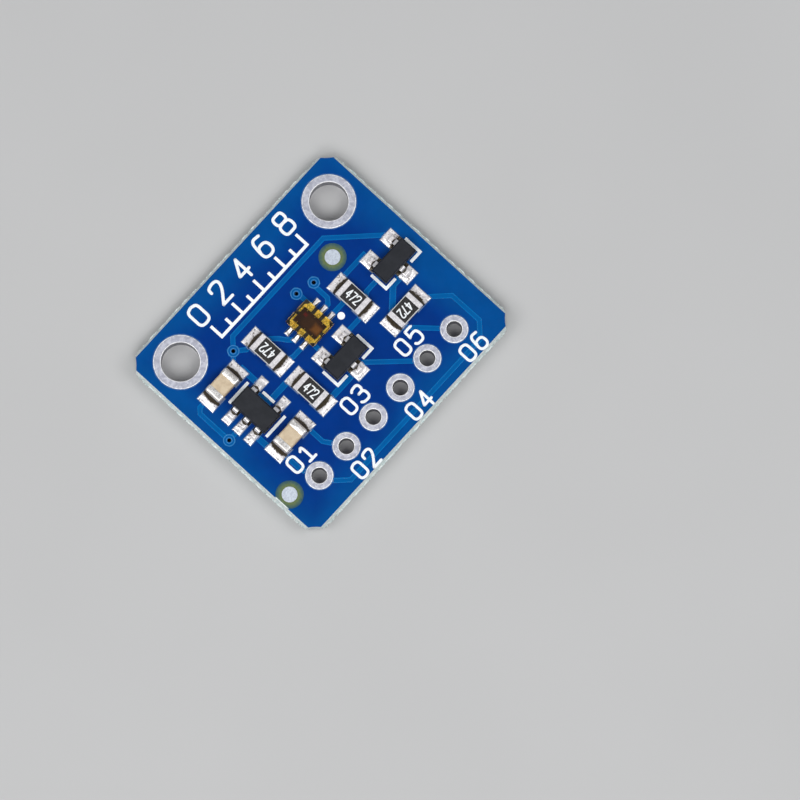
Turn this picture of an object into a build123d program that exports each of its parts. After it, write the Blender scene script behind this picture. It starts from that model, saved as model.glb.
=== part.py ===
from build123d import *
from collections import namedtuple
from math import radians, sin, sqrt, tan
import os

# Light sensor module: a small circuit board with a clear-bodied light sensor, a regulator, two
# transistors, four chip resistors and two chip capacitors, two mounting holes and a row of pin holes.
# +X runs along the row of pin holes, +Y from that row towards the mounting holes, and +Z out of the
# populated face. The origin is the middle of the underside. Sizes are in millimetres.

# Board: its length and width follow from the layout below, and come to 19.05 by 16.51
board_thickness = 1.6  # over the tinned lands of both faces
copper = 0.035  # foil on each face
film = 0.03  # solder mask
tin = 0.04  # on the bare lands, a little proud of the mask
plating = 0.025  # copper on the walls of the holes
score_depth = 0.43  # groove cut from each face before the boards are snapped apart
score_angle = 20  # slope of the groove's wall from upright, in degrees
tear_height = 0.09  # fibres left standing on the snapped web
tear_pitch = 0.78
corner_leg = 1.0  # how far the milled corner reaches along each side
corner_radius = 3.16

# Holes and lands of the board
edge_to_hole = 2.54  # from the board's edges to the mounting holes and to the row of pin holes
mount_hole = 2.5
mount_land = 3.5
pin_count = 6
pin_pitch = 2.54
pin_hole = 1.0
pin_land = 1.8
via_hole = 0.3
via_land = 0.72
fiducial_dot = 1.0
fiducial_window = 1.8
mask_gap = 0.05  # bare laminate round each land
track_width = 0.27
power_width = 0.36
pour_margin = 0.6  # from the board's edge to the ground area underneath
pour_gap = 0.25
print_width = 0.2
print_film = 0.02
print_dot = 0.49
print_clear = 0.15  # from a package's side to the print beside it
via_sides = 6  # the smallest round outlines are drawn with few sides
opening_sides = 20

# Layout: clear laminate between neighbouring lands, from the left edge to the right
left_margin = 1.605
regulator_to_resistors = 0.695
resistors_to_sensor = 0.92
sensor_to_resistor = 0.885
resistor_to_transistor = 1.32
right_margin = 1.135

# Layout: the same from the row of pin holes towards the mounting holes
pins_to_capacitor = 1.46
capacitor_to_regulator = 0.795
regulator_to_capacitor = 0.695
capacitor_to_mount = 0.61
pins_to_resistors = 1.45
resistor_to_resistor = 0.36
pins_to_transistor = 1.3
transistor_to_sensor = 0.74
pins_to_lying_resistor = 1.52
lying_resistor_to_resistor = 0.64
lying_resistor_to_transistor = 0.35
fiducial_from_left = 1.005
fiducial_from_front = 3.115

# Layout: how far some stand off the middle of a neighbour, along X alone or along X and Y
back_capacitor_shift = -0.28  # from the regulator
front_capacitor_shift = 0.23
lying_resistor_shift = -1.82  # from the right transistor
front_transistor_shift = -0.09  # from the sensor
resistor_via_shift = (1.82, 1.02)  # from the back capacitor
edge_via_shift = (-2.55, -0.02)  # from the regulator
near_via_shift = (0.84, 1.945)  # from the sensor
far_via_shift = (2.12, 1.615)
back_fiducial_shift = (1.035, 2.74)  # from the right resistor

# Solder
solder_film = 0.03  # between a part's metal and its land
solder_inset = 0.02
chip_solder_climb = 0.36
chip_solder_steps = (  # share of the climb, share of the toe, how much wider than the chip
    (0.0, 0.9, 0.06),
    (0.22, 0.5, 0.04),
    (0.55, 0.22, 0.0),
    (1.0, 0.06, -0.1),
)
lead_solder_climb = 0.07
lead_solder_heel = 0.05  # how far the fillet's top reaches past the foot at its heel
lead_solder_toe = 0.16  # and at its tip
lead_solder_side = 0.07  # and beside it
sensor_solder_toe = 0.2
sensor_solder_side = 0.08

# Chip resistors and capacitors
chip_length = 2.0
chip_width = 1.25
chip_land_length = 1.2
chip_land_width = 1.35
chip_land_span = 3.37  # outside to outside
resistor_height = 0.5
resistor_band = 0.35
terminal_film = 0.04
coat_film = 0.055
coat_inset = 0.05  # from the coat to the substrate's long sides
resistor_edge = 0.02
capacitor_height = 0.9
capacitor_band = 0.5
capacitor_edge = 0.1  # the worn-round edges of the block

# Moulded packages with bent leads
Package = namedtuple(
    "Package",
    "across along height standoff split lead_thickness lead_width lead_span foot bend pitch"
    " land_length land_width land_span",
)
transistor = Package(
    across=1.3, along=2.9, height=1.0, standoff=0.08, split=0.5, lead_thickness=0.12,
    lead_width=0.4, lead_span=2.4, foot=0.34, bend=0.08, pitch=0.95,
    land_length=1.1, land_width=1.02, land_span=3.25,
)  # fmt: skip
regulator = Package(
    across=1.6, along=2.9, height=1.15, standoff=0.1, split=0.6, lead_thickness=0.14,
    lead_width=0.38, lead_span=2.8, foot=0.38, bend=0.1, pitch=0.95,
    land_length=1.2, land_width=0.62, land_span=3.8,
)  # fmt: skip
body_draft = 7  # degrees
body_chamfer = 0.05
lead_embed = 0.35  # length of lead held inside the moulding
lead_shoulder = 0.12  # flat length between the moulding and the lead's first bend

# Light sensor
sensor_across = 2.0
sensor_along = 2.4
sensor_height = 0.65
contact_thickness = 0.12
contact_pitch = 0.645
contact_reach = 0.42  # from the package's side inwards
contact_width = 0.4
contact_arm = 0.12
contact_arm_reach = 0.87
contact_notch = 0.3  # the bevelled outer corner
die_across = 1.1
die_along = 1.84
die_height = 0.2
paddle_inset = 0.14
wire_width = 0.03
wire_sides = 6
wire_rise = 0.1  # above the die
wire_inset = 0.09  # from the die's side to the wire's foot
sensor_land_length = 0.87
sensor_land_width = 0.33
sensor_land_span = 3.07
sensor_chamfer = 0.04

# Half the room that each part's lands take, across and along the part
chip_half = (chip_land_span / 2, chip_land_width / 2)
regulator_half = (regulator.land_span / 2, regulator.pitch + regulator.land_width / 2)
transistor_half = (transistor.land_span / 2, transistor.pitch + transistor.land_width / 2)
sensor_half = (sensor_land_span / 2, contact_pitch + sensor_land_width / 2)

# Places measured from the board's left edge
regulator_x = left_margin + regulator_half[0]
resistors_x = regulator_x + regulator_half[0] + regulator_to_resistors + chip_half[1]
sensor_x = resistors_x + chip_half[1] + resistors_to_sensor + sensor_half[0]
right_resistor_x = sensor_x + sensor_half[0] + sensor_to_resistor + chip_half[1]
right_transistor_x = right_resistor_x + chip_half[1] + resistor_to_transistor + transistor_half[1]
board_length = right_transistor_x + transistor_half[1] + right_margin

# Places measured from its front edge
pins_back = edge_to_hole + pin_land / 2
front_capacitor_y = pins_back + pins_to_capacitor + chip_half[1]
regulator_y = front_capacitor_y + chip_half[1] + capacitor_to_regulator + regulator_half[1]
back_capacitor_y = regulator_y + regulator_half[1] + regulator_to_capacitor + chip_half[1]
front_resistor_y = pins_back + pins_to_resistors + chip_half[0]
back_resistor_y = front_resistor_y + 2 * chip_half[0] + resistor_to_resistor
transistor_y = pins_back + pins_to_transistor + transistor_half[0]
sensor_y = transistor_y + transistor_half[0] + transistor_to_sensor + sensor_half[1]
lying_resistor_y = pins_back + pins_to_lying_resistor + chip_half[1]
right_resistor_y = lying_resistor_y + chip_half[1] + lying_resistor_to_resistor + chip_half[0]
right_transistor_y = (
    lying_resistor_y + chip_half[1] + lying_resistor_to_transistor + transistor_half[0]
)
board_width = back_capacitor_y + chip_half[1] + capacitor_to_mount + mount_land / 2 + edge_to_hole

# Faces and lines that follow from the sizes
land_build = copper + tin
mask_build = copper + film
core_bottom = land_build
core_top = board_thickness - land_build
web_x = board_length / 2 - tear_height
web_y = board_width / 2 - tear_height
score_inset = score_depth * tan(radians(score_angle))
web_bottom = core_bottom + score_depth
web_top = core_top - score_depth
hole_x = board_length / 2 - edge_to_hole
hole_y = board_width / 2 - edge_to_hole
mount_spots = [(-hole_x, hole_y), (hole_x, hole_y)]
pin_spots = [((i - (pin_count - 1) / 2) * pin_pitch, -hole_y) for i in range(pin_count)]


def centred(x, y):
    """A point given from the board's left and front edges, as measured from its middle."""
    return x - board_length / 2, y - board_width / 2


# Seats: the plane on which each part stands, with its local X along a chip, or across a moulded
# package towards its leads
def seat(x, y, turn=0):
    """The plane on the lands at a point given from the edges, turned about Z by so many degrees."""
    return Plane(Location((*centred(x, y), board_thickness), (0, 0, turn)))


def beside(x, y, shift):
    """A point that stands off one given from the edges by so much along X and Y."""
    return centred(x + shift[0], y + shift[1])


regulator_seat = seat(regulator_x, regulator_y)
capacitor_seats = [
    seat(regulator_x + back_capacitor_shift, back_capacitor_y),
    seat(regulator_x + front_capacitor_shift, front_capacitor_y),
]
resistor_seats = [
    seat(resistors_x, back_resistor_y, 90),
    seat(resistors_x, front_resistor_y, 90),
    seat(right_resistor_x, right_resistor_y, 90),
    seat(right_transistor_x + lying_resistor_shift, lying_resistor_y),
]
sensor_seat = seat(sensor_x, sensor_y)
transistor_seats = [
    seat(sensor_x + front_transistor_shift, transistor_y, 90),
    seat(right_transistor_x, right_transistor_y, 90),
]
via_spots = [
    beside(regulator_x, back_capacitor_y, resistor_via_shift),
    beside(regulator_x, regulator_y, edge_via_shift),
    beside(sensor_x, sensor_y, near_via_shift),
    beside(sensor_x, sensor_y, far_via_shift),
]
fiducial_spots = [
    beside(right_resistor_x, right_resistor_y, back_fiducial_shift),
    centred(fiducial_from_left, fiducial_from_front),
]


# Lands
Land = namedtuple("Land", "x y size_x size_y")


def spot(plane, u, v=0.0):
    """World (x, y) of a point given on a seat."""
    at = plane.from_local_coords((u, v, 0))
    return at.X, at.Y


def lands_at(plane, places, length, width):
    """One land at each local (u, v), with its length along the seat's local X."""
    turned = abs(plane.x_dir.Y) > 0.5
    size = (width, length) if turned else (length, width)
    return [Land(*spot(plane, u, v), *size) for u, v in places]


def chip_lands(plane):
    reach = (chip_land_span - chip_land_length) / 2
    return lands_at(plane, [(-reach, 0), (reach, 0)], chip_land_length, chip_land_width)


def package_lands(plane, package, leads):
    reach = (package.land_span - package.land_length) / 2
    places = [(side * reach, row * package.pitch) for side, row in leads]
    return lands_at(plane, places, package.land_length, package.land_width)


def sensor_lands():
    reach = (sensor_land_span - sensor_land_length) / 2
    places = [(side * reach, row * contact_pitch) for side, row in sensor_leads]
    return lands_at(sensor_seat, places, sensor_land_length, sensor_land_width)


# Leads as (side, row): side is along the seat's local X, row counts lead pitches along its local Y
regulator_leads = [(-1, 1), (-1, 0), (-1, -1), (1, 1), (1, -1)]
transistor_leads = [(1, 1), (1, -1), (-1, 0)]
sensor_leads = [(side, row) for side in (-1, 1) for row in (1, 0, -1)]

capacitor_lands = [chip_lands(p) for p in capacitor_seats]
resistor_lands = [chip_lands(p) for p in resistor_seats]
regulator_land = package_lands(regulator_seat, regulator, regulator_leads)
transistor_lands = [package_lands(p, transistor, transistor_leads) for p in transistor_seats]
sensor_land = sensor_lands()
all_lands = [
    land
    for group in [*capacitor_lands, *resistor_lands, regulator_land, *transistor_lands, sensor_land]
    for land in group
]


# Tracks: (width, points), each point measured from the lands, holes and vias that it joins
def by(place, dx=0.0, dy=0.0):
    """A point that stands off a land, hole or via by so much."""
    return place[0] + dx, place[1] + dy


(c1_left, c1_right), (c2_left, c2_right) = capacitor_lands
r1_bottom, r1_top = resistor_lands[0]
r2_bottom, r2_top = resistor_lands[1]
r3_bottom, r3_top = resistor_lands[2]
r4_left, r4_right = resistor_lands[3]
reg_top_left, reg_mid_left, reg_bottom_left, reg_top_right, reg_bottom_right = regulator_land
q1_top_left, q1_top_right, q1_bottom = transistor_lands[0]
q2_top_left, q2_top_right, q2_bottom = transistor_lands[1]
s_top_left, s_mid_left, s_bottom_left, s_top_right, s_mid_right, s_bottom_right = sensor_land
via_a, via_b, via_c, via_d = via_spots
ridge = 0.68  # how far the long back track stands off its via
loop_right = q2_top_right.x - 0.03
loop_front = -hole_y - 1.655

top_tracks = [
    (track_width, [by(c1_right, 0.36, 0.4), via_a]),
    (
        track_width,
        [
            via_a,
            by(via_a, ridge, ridge),
            (q2_top_right.x - 2.88, via_a[1] + ridge),
            by(q2_top_right, 0.0, 0.45),
        ],
    ),
    (track_width, [via_a, by(r1_top, -0.8, 0.0), by(r1_top, -0.3, 0.0)]),
    (
        track_width,
        [
            by(c1_left, -0.3, 0.14),
            (via_b[0] + 0.28, c1_left.y + 0.14),
            (via_b[0], c1_left.y - 0.14),
            via_b,
            by(reg_mid_left, -0.3, 0.0),
        ],
    ),
    (power_width, [by(reg_top_right, 0.07, 0.1), (reg_top_right.x + 0.07, c1_right.y)]),
    (power_width, [by(reg_bottom_left, 0.1, 0.0), (reg_bottom_left.x + 0.1, c2_left.y)]),
    (
        power_width,
        [
            by(r2_top, 0.0, 0.43),
            (reg_top_right.x - 0.48, r2_top.y + 0.43),
            by(reg_top_right, -0.48, -0.1),
        ],
    ),
    (
        track_width,
        [by(r1_top, 0.4, -0.3), by(r1_top, 1.12, -1.05), by(s_mid_left, -0.63, 0.36),
         by(s_mid_left, -0.27, 0.0), s_mid_left[:2]],
    ),
    (
        track_width,
        [by(r1_bottom, 0.3, -0.05), by(r1_bottom, 0.86, -0.32), s_bottom_left[:2]],
    ),
    (track_width, [by(s_bottom_left, 0.28), by(q1_top_left, 0.22)]),
    (
        track_width,
        [
            s_bottom_right[:2],
            (r3_bottom.x - 0.62, s_bottom_right.y),
            by(r3_bottom, -0.1, 0.83),
            by(r3_bottom, -0.1, 0.2),
        ],
    ),
    (
        track_width,
        [
            by(r3_bottom, 0.45, 0.35),
            by(r3_bottom, 0.85, 0.74),
            (q2_top_left.x - 0.4, r3_bottom.y + 0.74),
            by(q2_top_left, 0.0, -0.6),
            by(q2_top_left),
        ],
    ),
    (track_width, [by(r3_top, 0.3, 0.3), (q2_top_left.x, r3_top.y + 0.3), by(q2_top_left)]),
    (
        track_width,
        [
            via_d,
            by(via_d, -0.13, -0.2),
            by(via_d, -0.13, -1.3),
            by(s_mid_right, 0.6, 0.0),
            s_mid_right[:2],
        ],
    ),
    (
        track_width,
        [via_c, by(via_c, 0.08, -0.28), (via_c[0] + 0.08, s_top_right.y + 0.25), s_top_right[:2]],
    ),
    (track_width, [by(q1_top_right, 0.3, 0.0), (r3_bottom.x - 0.4, q1_top_right.y)]),
    (power_width, [by(r2_bottom, 0.3, -0.15), (q1_bottom.x, r2_bottom.y - 0.15)]),
    (
        track_width,
        [by(q1_bottom, 0.35, 0.2), by(q1_bottom, 0.66, 0.0), by(pin_spots[4], -0.62, 0.42),
         by(pin_spots[4], -0.2, 0.0)],
    ),
    (
        track_width,
        [by(r4_left, 0.0, -0.4), by(r4_left, 0.4, -0.85), by(pin_spots[5], -0.55, 0.66),
         by(pin_spots[5], 0.0, 0.11)],
    ),
    (
        track_width,
        [
            by(r4_right, 0.4, -0.3),
            (loop_right, r4_right.y - 1.55),
            (loop_right, loop_front + 0.87),
            (loop_right - 0.87, loop_front),
            (pin_spots[0][0] + 1.15, loop_front),
            by(pin_spots[0], 0.35, -0.85),
            by(pin_spots[0], 0.1, -0.2),
        ],
    ),
    (
        power_width,
        [by(q2_bottom, -0.3, 0.1), by(q2_bottom, -1.15, 0.1), by(r4_left, 0.45, 0.55),
         by(r4_left, 0.1, 0.2)],
    ),
    (
        track_width,
        [by(c2_right, 0.1, -0.3), by(c2_right, 0.1, -1.7), by(pin_spots[1], -0.5, 0.85),
         by(pin_spots[1], -0.1, 0.2)],
    ),
    (
        track_width,
        [by(c2_left, 0.0, -0.4), by(c2_left, 0.0, -1.95), by(pin_spots[0], -0.1, 0.2)],
    ),
]  # fmt: skip

bottom_tracks = [
    (track_width, [via_a, (via_a[0], pin_spots[2][1] + 2.93), pin_spots[2]]),
    (track_width, [via_c, (via_c[0], pin_spots[3][1] + 0.9), pin_spots[3]]),
]
grounded_vias = [via_b, via_d]
signal_vias = [via_a, via_c]
ground_pin = pin_spots[1]
signal_pins = [p for p in pin_spots if p != ground_pin]


# Outlines, each drawn into the sketch that is open
def rounds(spots, diameter, mode=Mode.ADD):
    """A disc at each spot."""
    with Locations(*spots):
        Circle(diameter / 2, mode=mode)


def facets(spots, diameter, sides, mode=Mode.ADD):
    """A many-sided disc at each spot, measured across its flats."""
    with Locations(*spots):
        RegularPolygon(diameter / 2, sides, major_radius=False, mode=mode)


def lands_outline(margin=0.0, mode=Mode.ADD):
    """The rectangles of all lands, each grown by a margin."""
    for land in all_lands:
        with Locations((land.x, land.y)):
            Rectangle(land.size_x + 2 * margin, land.size_y + 2 * margin, mode=mode)


def board_outline(half_x, half_y):
    """A rectangle of so much each side of the middle, with the milled corners cut out of it."""
    Rectangle(2 * half_x, 2 * half_y)
    out = (sqrt(2 * corner_radius**2 - corner_leg**2) - corner_leg) / 2
    mill_x = board_length / 2 + out
    mill_y = board_width / 2 + out
    corners = [(x, y) for x in (-mill_x, mill_x) for y in (-mill_y, mill_y)]
    rounds(corners, 2 * corner_radius, Mode.SUBTRACT)


def tracks_outline(tracks, margin=0.0, mode=Mode.ADD):
    """Tracks as strips with square ends, each grown by a margin on both sides."""
    for width, points in tracks:
        with BuildLine() as run:
            Polyline(*points)
        trace(run.line, line_width=width + 2 * margin, mode=mode)


def pour_outline(margin=0.0):
    """The ground area, cut back round every hole and track that isn't grounded."""
    gap = pour_gap - margin
    board_outline(web_x - pour_margin + margin, web_y - pour_margin + margin)
    with Locations(*[(side * board_length / 2, board_width / 2) for side in (-1, 1)]):
        Rectangle(2 * edge_to_hole - 2 * margin, 2 * edge_to_hole - 2 * margin, mode=Mode.SUBTRACT)
    facets(mount_spots, mount_land + 2 * gap, opening_sides, Mode.SUBTRACT)
    facets(signal_pins, pin_land + 2 * gap, opening_sides, Mode.SUBTRACT)
    facets(signal_vias, via_land + 2 * gap, via_sides, Mode.SUBTRACT)
    tracks_outline(bottom_tracks, gap, Mode.SUBTRACT)


def drilled_lands_outline(mode=Mode.ADD):
    """The discs of the plated holes' lands."""
    rounds(mount_spots, mount_land, mode)
    rounds(pin_spots, pin_land, mode)


def mask_openings(mode=Mode.ADD):
    """The windows in the mask round the plated holes, and the vias' own holes."""
    facets(mount_spots, mount_land + 2 * mask_gap, opening_sides, mode)
    facets(pin_spots, pin_land + 2 * mask_gap, opening_sides, mode)
    facets(via_spots, via_hole, via_sides, mode)


def tears(run):
    """(place along the side, height) of each fibre bundle left on a snapped side."""
    count = int(run / tear_pitch)
    found = []
    for i in range(count):
        share = 1.0 if i == count // 2 else 0.35 + 0.6 * abs(sin(2.4 * i + run))
        place = (i + 0.5 - count / 2) * tear_pitch + 0.08 * sin(5.1 * i)
        found.append((place, tear_height * share))
    return found


def keep(built, name):
    """Label a finished piece and write it as its own file."""
    built.part.label = name
    export_step(built.part, f"parts/{name}.step")


os.makedirs("parts", exist_ok=True)

# Laminate: scored from both faces, snapped along the web between the grooves, milled at the corners
with BuildPart() as laminate:
    with BuildSketch(Plane.XY.offset(core_bottom)):
        board_outline(web_x, web_y)
    extrude(amount=core_top - core_bottom)
    for profile_plane, wall, run in (
        (Plane.XZ, web_x, board_width),
        (Plane.YZ, web_y, board_length),
    ):
        with BuildSketch(profile_plane):
            for side in (-1, 1):
                for face, web_edge in ((core_top, web_top), (core_bottom, web_bottom)):
                    Polygon(
                        (side * (wall - score_inset), face),
                        (side * wall, web_edge),
                        (side * (wall + 1), web_edge),
                        (side * (wall + 1), face),
                        align=None,
                    )
        extrude(amount=run, both=True, mode=Mode.SUBTRACT)
    with BuildSketch(Plane.XY.offset(web_bottom)):
        for turn, wall, run in (
            (0, web_y, board_length),
            (90, web_x, board_width),
            (180, web_y, board_length),
            (270, web_x, board_width),
        ):
            with Locations(Location((0, 0, 0), (0, 0, turn))):
                for place, height in tears(run - 2 * corner_leg - 2 * tear_pitch):
                    Polygon(
                        (place - tear_pitch / 2, -wall),
                        (place - tear_pitch / 6, -wall - height),
                        (place + tear_pitch / 4, -wall - height * 0.6),
                        (place + tear_pitch / 2, -wall),
                        align=None,
                    )
    extrude(amount=web_top - web_bottom)
    with BuildSketch(Plane.XY.offset(core_bottom)):
        rounds(mount_spots, mount_hole + 2 * plating)
        rounds(pin_spots, pin_hole + 2 * plating)
        facets(via_spots, via_hole + 2 * plating, via_sides)
    extrude(amount=core_top - core_bottom, mode=Mode.SUBTRACT)
keep(laminate, "laminate")


# Plated holes: a barrel with a land on each face
def eyelet(x, y, hole, land, name):
    """A plated hole: its barrel lines the laminate and its lands lie on both faces."""
    bore = hole / 2
    rim = land / 2
    low = core_bottom - land_build
    high = core_top + land_build
    with BuildPart() as ring:
        with BuildSketch(Plane(origin=(x, y, 0), x_dir=(1, 0, 0), z_dir=(0, -1, 0))):
            Polygon(
                (bore, low),
                (rim, low),
                (rim, core_bottom),
                (bore + plating, core_bottom),
                (bore + plating, core_top),
                (rim, core_top),
                (rim, high),
                (bore, high),
                align=None,
            )
        revolve(axis=Axis((x, y, 0), (0, 0, 1)))
    keep(ring, name)


for (x, y), side in zip(mount_spots, ("left", "right")):
    eyelet(x, y, mount_hole, mount_land, f"mounting_eyelet_{side}")
for i, (x, y) in enumerate(pin_spots):
    eyelet(x, y, pin_hole, pin_land, f"header_eyelet_{i + 1}")

with BuildPart() as vias:
    with BuildSketch(Plane.XY.offset(core_bottom - copper)):
        facets(via_spots, via_land, via_sides)
    extrude(amount=copper)
    with BuildSketch(Plane.XY.offset(core_top)):
        facets(via_spots, via_land, via_sides)
    extrude(amount=copper)
    with BuildSketch(Plane.XY.offset(core_bottom)):
        facets(via_spots, via_hole + 2 * plating, via_sides)
    extrude(amount=core_top - core_bottom)
    with BuildSketch(Plane.XY.offset(core_bottom - copper)):
        facets(via_spots, via_hole, via_sides)
    extrude(amount=board_thickness, mode=Mode.SUBTRACT)
keep(vias, "vias")

# Foil on the upper face
with BuildPart() as tracks_top:
    with BuildSketch(Plane.XY.offset(core_top)):
        tracks_outline(top_tracks)
        lands_outline(mode=Mode.SUBTRACT)
        drilled_lands_outline(Mode.SUBTRACT)
        facets(via_spots, via_land, via_sides, Mode.SUBTRACT)
    extrude(amount=copper)
keep(tracks_top, "tracks_top")

with BuildPart() as component_lands:
    with BuildSketch(Plane.XY.offset(core_top)):
        lands_outline()
    extrude(amount=land_build)
keep(component_lands, "component_lands")

with BuildPart() as fiducials:
    with BuildSketch(Plane.XY.offset(core_top)):
        facets(fiducial_spots, fiducial_dot, opening_sides)
    extrude(amount=land_build)
keep(fiducials, "fiducial_dots")

# Foil on the lower face
with BuildPart() as tracks_bottom:
    with BuildSketch(Plane.XY.offset(core_bottom)):
        tracks_outline(bottom_tracks)
        drilled_lands_outline(Mode.SUBTRACT)
        facets(via_spots, via_land, via_sides, Mode.SUBTRACT)
    extrude(amount=-copper)
keep(tracks_bottom, "tracks_bottom")

with BuildPart() as ground_pour:
    with BuildSketch(Plane.XY.offset(core_bottom)):
        pour_outline()
        rounds([ground_pin], pin_land, Mode.SUBTRACT)
        facets(grounded_vias, via_land, via_sides, Mode.SUBTRACT)
    extrude(amount=-copper)
keep(ground_pour, "ground_pour")

# Solder mask: a film on the laminate that rises over the foil
with BuildPart() as mask_top:
    with BuildSketch(Plane.XY.offset(core_top)):
        board_outline(web_x - score_inset, web_y - score_inset)
    extrude(amount=film)
    with BuildSketch(Plane.XY.offset(core_top)):
        tracks_outline(top_tracks, film)
        facets(via_spots, via_land + 2 * film, via_sides)
    extrude(amount=mask_build)
    with BuildSketch(Plane.XY.offset(core_top)):
        tracks_outline(top_tracks)
        facets(via_spots, via_land, via_sides)
    extrude(amount=copper, mode=Mode.SUBTRACT)
    with BuildSketch(Plane.XY.offset(core_top)):
        lands_outline(mask_gap)
        mask_openings()
        facets(fiducial_spots, fiducial_window, opening_sides)
    extrude(amount=mask_build, mode=Mode.SUBTRACT)
keep(mask_top, "solder_mask_top")

with BuildPart() as mask_bottom:
    with BuildSketch(Plane.XY.offset(core_bottom)):
        board_outline(web_x - score_inset, web_y - score_inset)
    extrude(amount=-film)
    with BuildSketch(Plane.XY.offset(core_bottom)):
        pour_outline(film)
        tracks_outline(bottom_tracks, film)
        facets(via_spots, via_land + 2 * film, via_sides)
    extrude(amount=-mask_build)
    with BuildSketch(Plane.XY.offset(core_bottom)):
        pour_outline()
        tracks_outline(bottom_tracks)
        facets(via_spots, via_land, via_sides)
    extrude(amount=-copper, mode=Mode.SUBTRACT)
    with BuildSketch(Plane.XY.offset(core_bottom)):
        mask_openings()
    extrude(amount=-mask_build, mode=Mode.SUBTRACT)
keep(mask_bottom, "solder_mask_bottom")


# White print: bars and corner marks round the packages, a dot at the sensor's first contact and a
# plain millimetre scale along the back
corner_mark_rise = 0.5
corner_mark_reach = 0.88


def corner_mark(plane, side):
    """Points of the L at one end of a transistor, from beside its body to below it."""
    out = transistor.along / 2 + print_clear
    below = transistor.across / 2 + print_clear
    return [
        spot(plane, corner_mark_rise, side * out),
        spot(plane, -below, side * out),
        spot(plane, -below, side * (out - corner_mark_reach)),
    ]


scale_y = hole_y - 0.855
scale_steps = 8
scale_tick = 0.62
scale_long_tick = 0.98
end_bar = regulator.along / 2 + print_clear
end_bar_left = -regulator.across / 2
end_bar_right = regulator.across / 2 + 0.2
side_bar = regulator.across / 2 + 0.37
side_bar_reach = 0.5
first_contact_mark = spot(sensor_seat, 1.73, -1.115)
print_lines = [
    [spot(regulator_seat, end_bar_left, end_bar), spot(regulator_seat, end_bar_right, end_bar)],
    [spot(regulator_seat, end_bar_left, -end_bar), spot(regulator_seat, end_bar_right, -end_bar)],
    [spot(regulator_seat, side_bar, side_bar_reach), spot(regulator_seat, side_bar, -side_bar_reach)],
    *[corner_mark(plane, side) for plane in transistor_seats for side in (-1, 1)],
    [(-scale_steps / 2 - print_width / 2, scale_y), (scale_steps / 2 + print_width / 2, scale_y)],
]
for i in range(scale_steps + 1):
    tick = scale_tick if i % 2 else scale_long_tick
    print_lines.append([(i - scale_steps / 2, scale_y), (i - scale_steps / 2, scale_y + tick)])

with BuildPart() as white_print:
    with BuildSketch(Plane.XY.offset(core_top + film)):
        tracks_outline([(print_width, points) for points in print_lines])
        rounds([first_contact_mark], print_dot)
    extrude(amount=print_film + copper)
    with BuildSketch(Plane.XY.offset(core_top + film + print_film)):
        Rectangle(board_length, board_width)
        tracks_outline(top_tracks, film, Mode.SUBTRACT)
    extrude(amount=copper, mode=Mode.SUBTRACT)
    add(mask_top.part, mode=Mode.SUBTRACT)
    add(tracks_top.part, mode=Mode.SUBTRACT)
keep(white_print, "white_print")


# Chips with two ends
def side_view(plane, v=0.0, out=1):
    """The upright plane through a seat at local v, with its local X pointing out along the seat."""
    x_dir = plane.x_dir * out
    return Plane(
        origin=plane.from_local_coords((0, v, 0)), x_dir=x_dir, z_dir=x_dir.cross(plane.z_dir)
    )


def chip_resistor(plane, name):
    """A ceramic substrate, the dark coat on its upper face and the terminals wrapped round its ends."""
    base = solder_film
    with BuildPart() as substrate:
        with BuildSketch(plane.offset(base + terminal_film)):
            Rectangle(chip_length - 2 * terminal_film, chip_width)
        extrude(amount=resistor_height - 2 * terminal_film)
    keep(substrate, f"{name}_substrate")
    with BuildPart() as terminals:
        with BuildSketch(side_view(plane)):
            with Locations((0, base + resistor_height / 2)):
                outer = Rectangle(chip_length, resistor_height)
                chamfer(outer.vertices(), resistor_edge)
                Rectangle(chip_length - 2 * resistor_band, resistor_height, mode=Mode.SUBTRACT)
        extrude(amount=chip_width / 2, both=True)
        add(substrate.part, mode=Mode.SUBTRACT)
    keep(terminals, f"{name}_terminals")
    with BuildPart() as coat:
        with BuildSketch(plane.offset(base + resistor_height - terminal_film)):
            Rectangle(chip_length - 2 * resistor_band, chip_width - 2 * coat_inset)
        extrude(amount=coat_film)
        chamfer(coat.faces().sort_by(Axis.Z)[-1].edges(), coat_film / 4)
    keep(coat, f"{name}_coat")


def chip_capacitor(plane, name):
    """A ceramic block with a metal cap dipped over each end."""
    base = solder_film
    core_edge = capacitor_edge - terminal_film / 2
    with BuildPart() as ceramic:
        with BuildSketch(plane.offset(base + terminal_film)):
            Rectangle(chip_length - 2 * terminal_film, chip_width - 2 * terminal_film)
        extrude(amount=capacitor_height - 2 * terminal_film)
        long_edges = ceramic.edges().filter_by(Axis(plane.origin, plane.x_dir))
        chamfer(long_edges, core_edge)
    with BuildPart() as caps:
        with BuildSketch(plane.offset(base)):
            Rectangle(chip_length, chip_width)
        extrude(amount=capacitor_height)
        chamfer(caps.edges(), capacitor_edge)
        with BuildSketch(plane):
            Rectangle(chip_length - 2 * capacitor_band, 2 * chip_width)
        extrude(amount=2 * capacitor_height, mode=Mode.SUBTRACT)
        add(ceramic.part, mode=Mode.SUBTRACT)
    keep(ceramic, f"{name}_ceramic")
    keep(caps, f"{name}_caps")


for i, plane in enumerate(resistor_seats):
    chip_resistor(plane, f"resistor_{i + 1}")
for i, plane in enumerate(capacitor_seats):
    chip_capacitor(plane, f"capacitor_{i + 1}")


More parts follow.
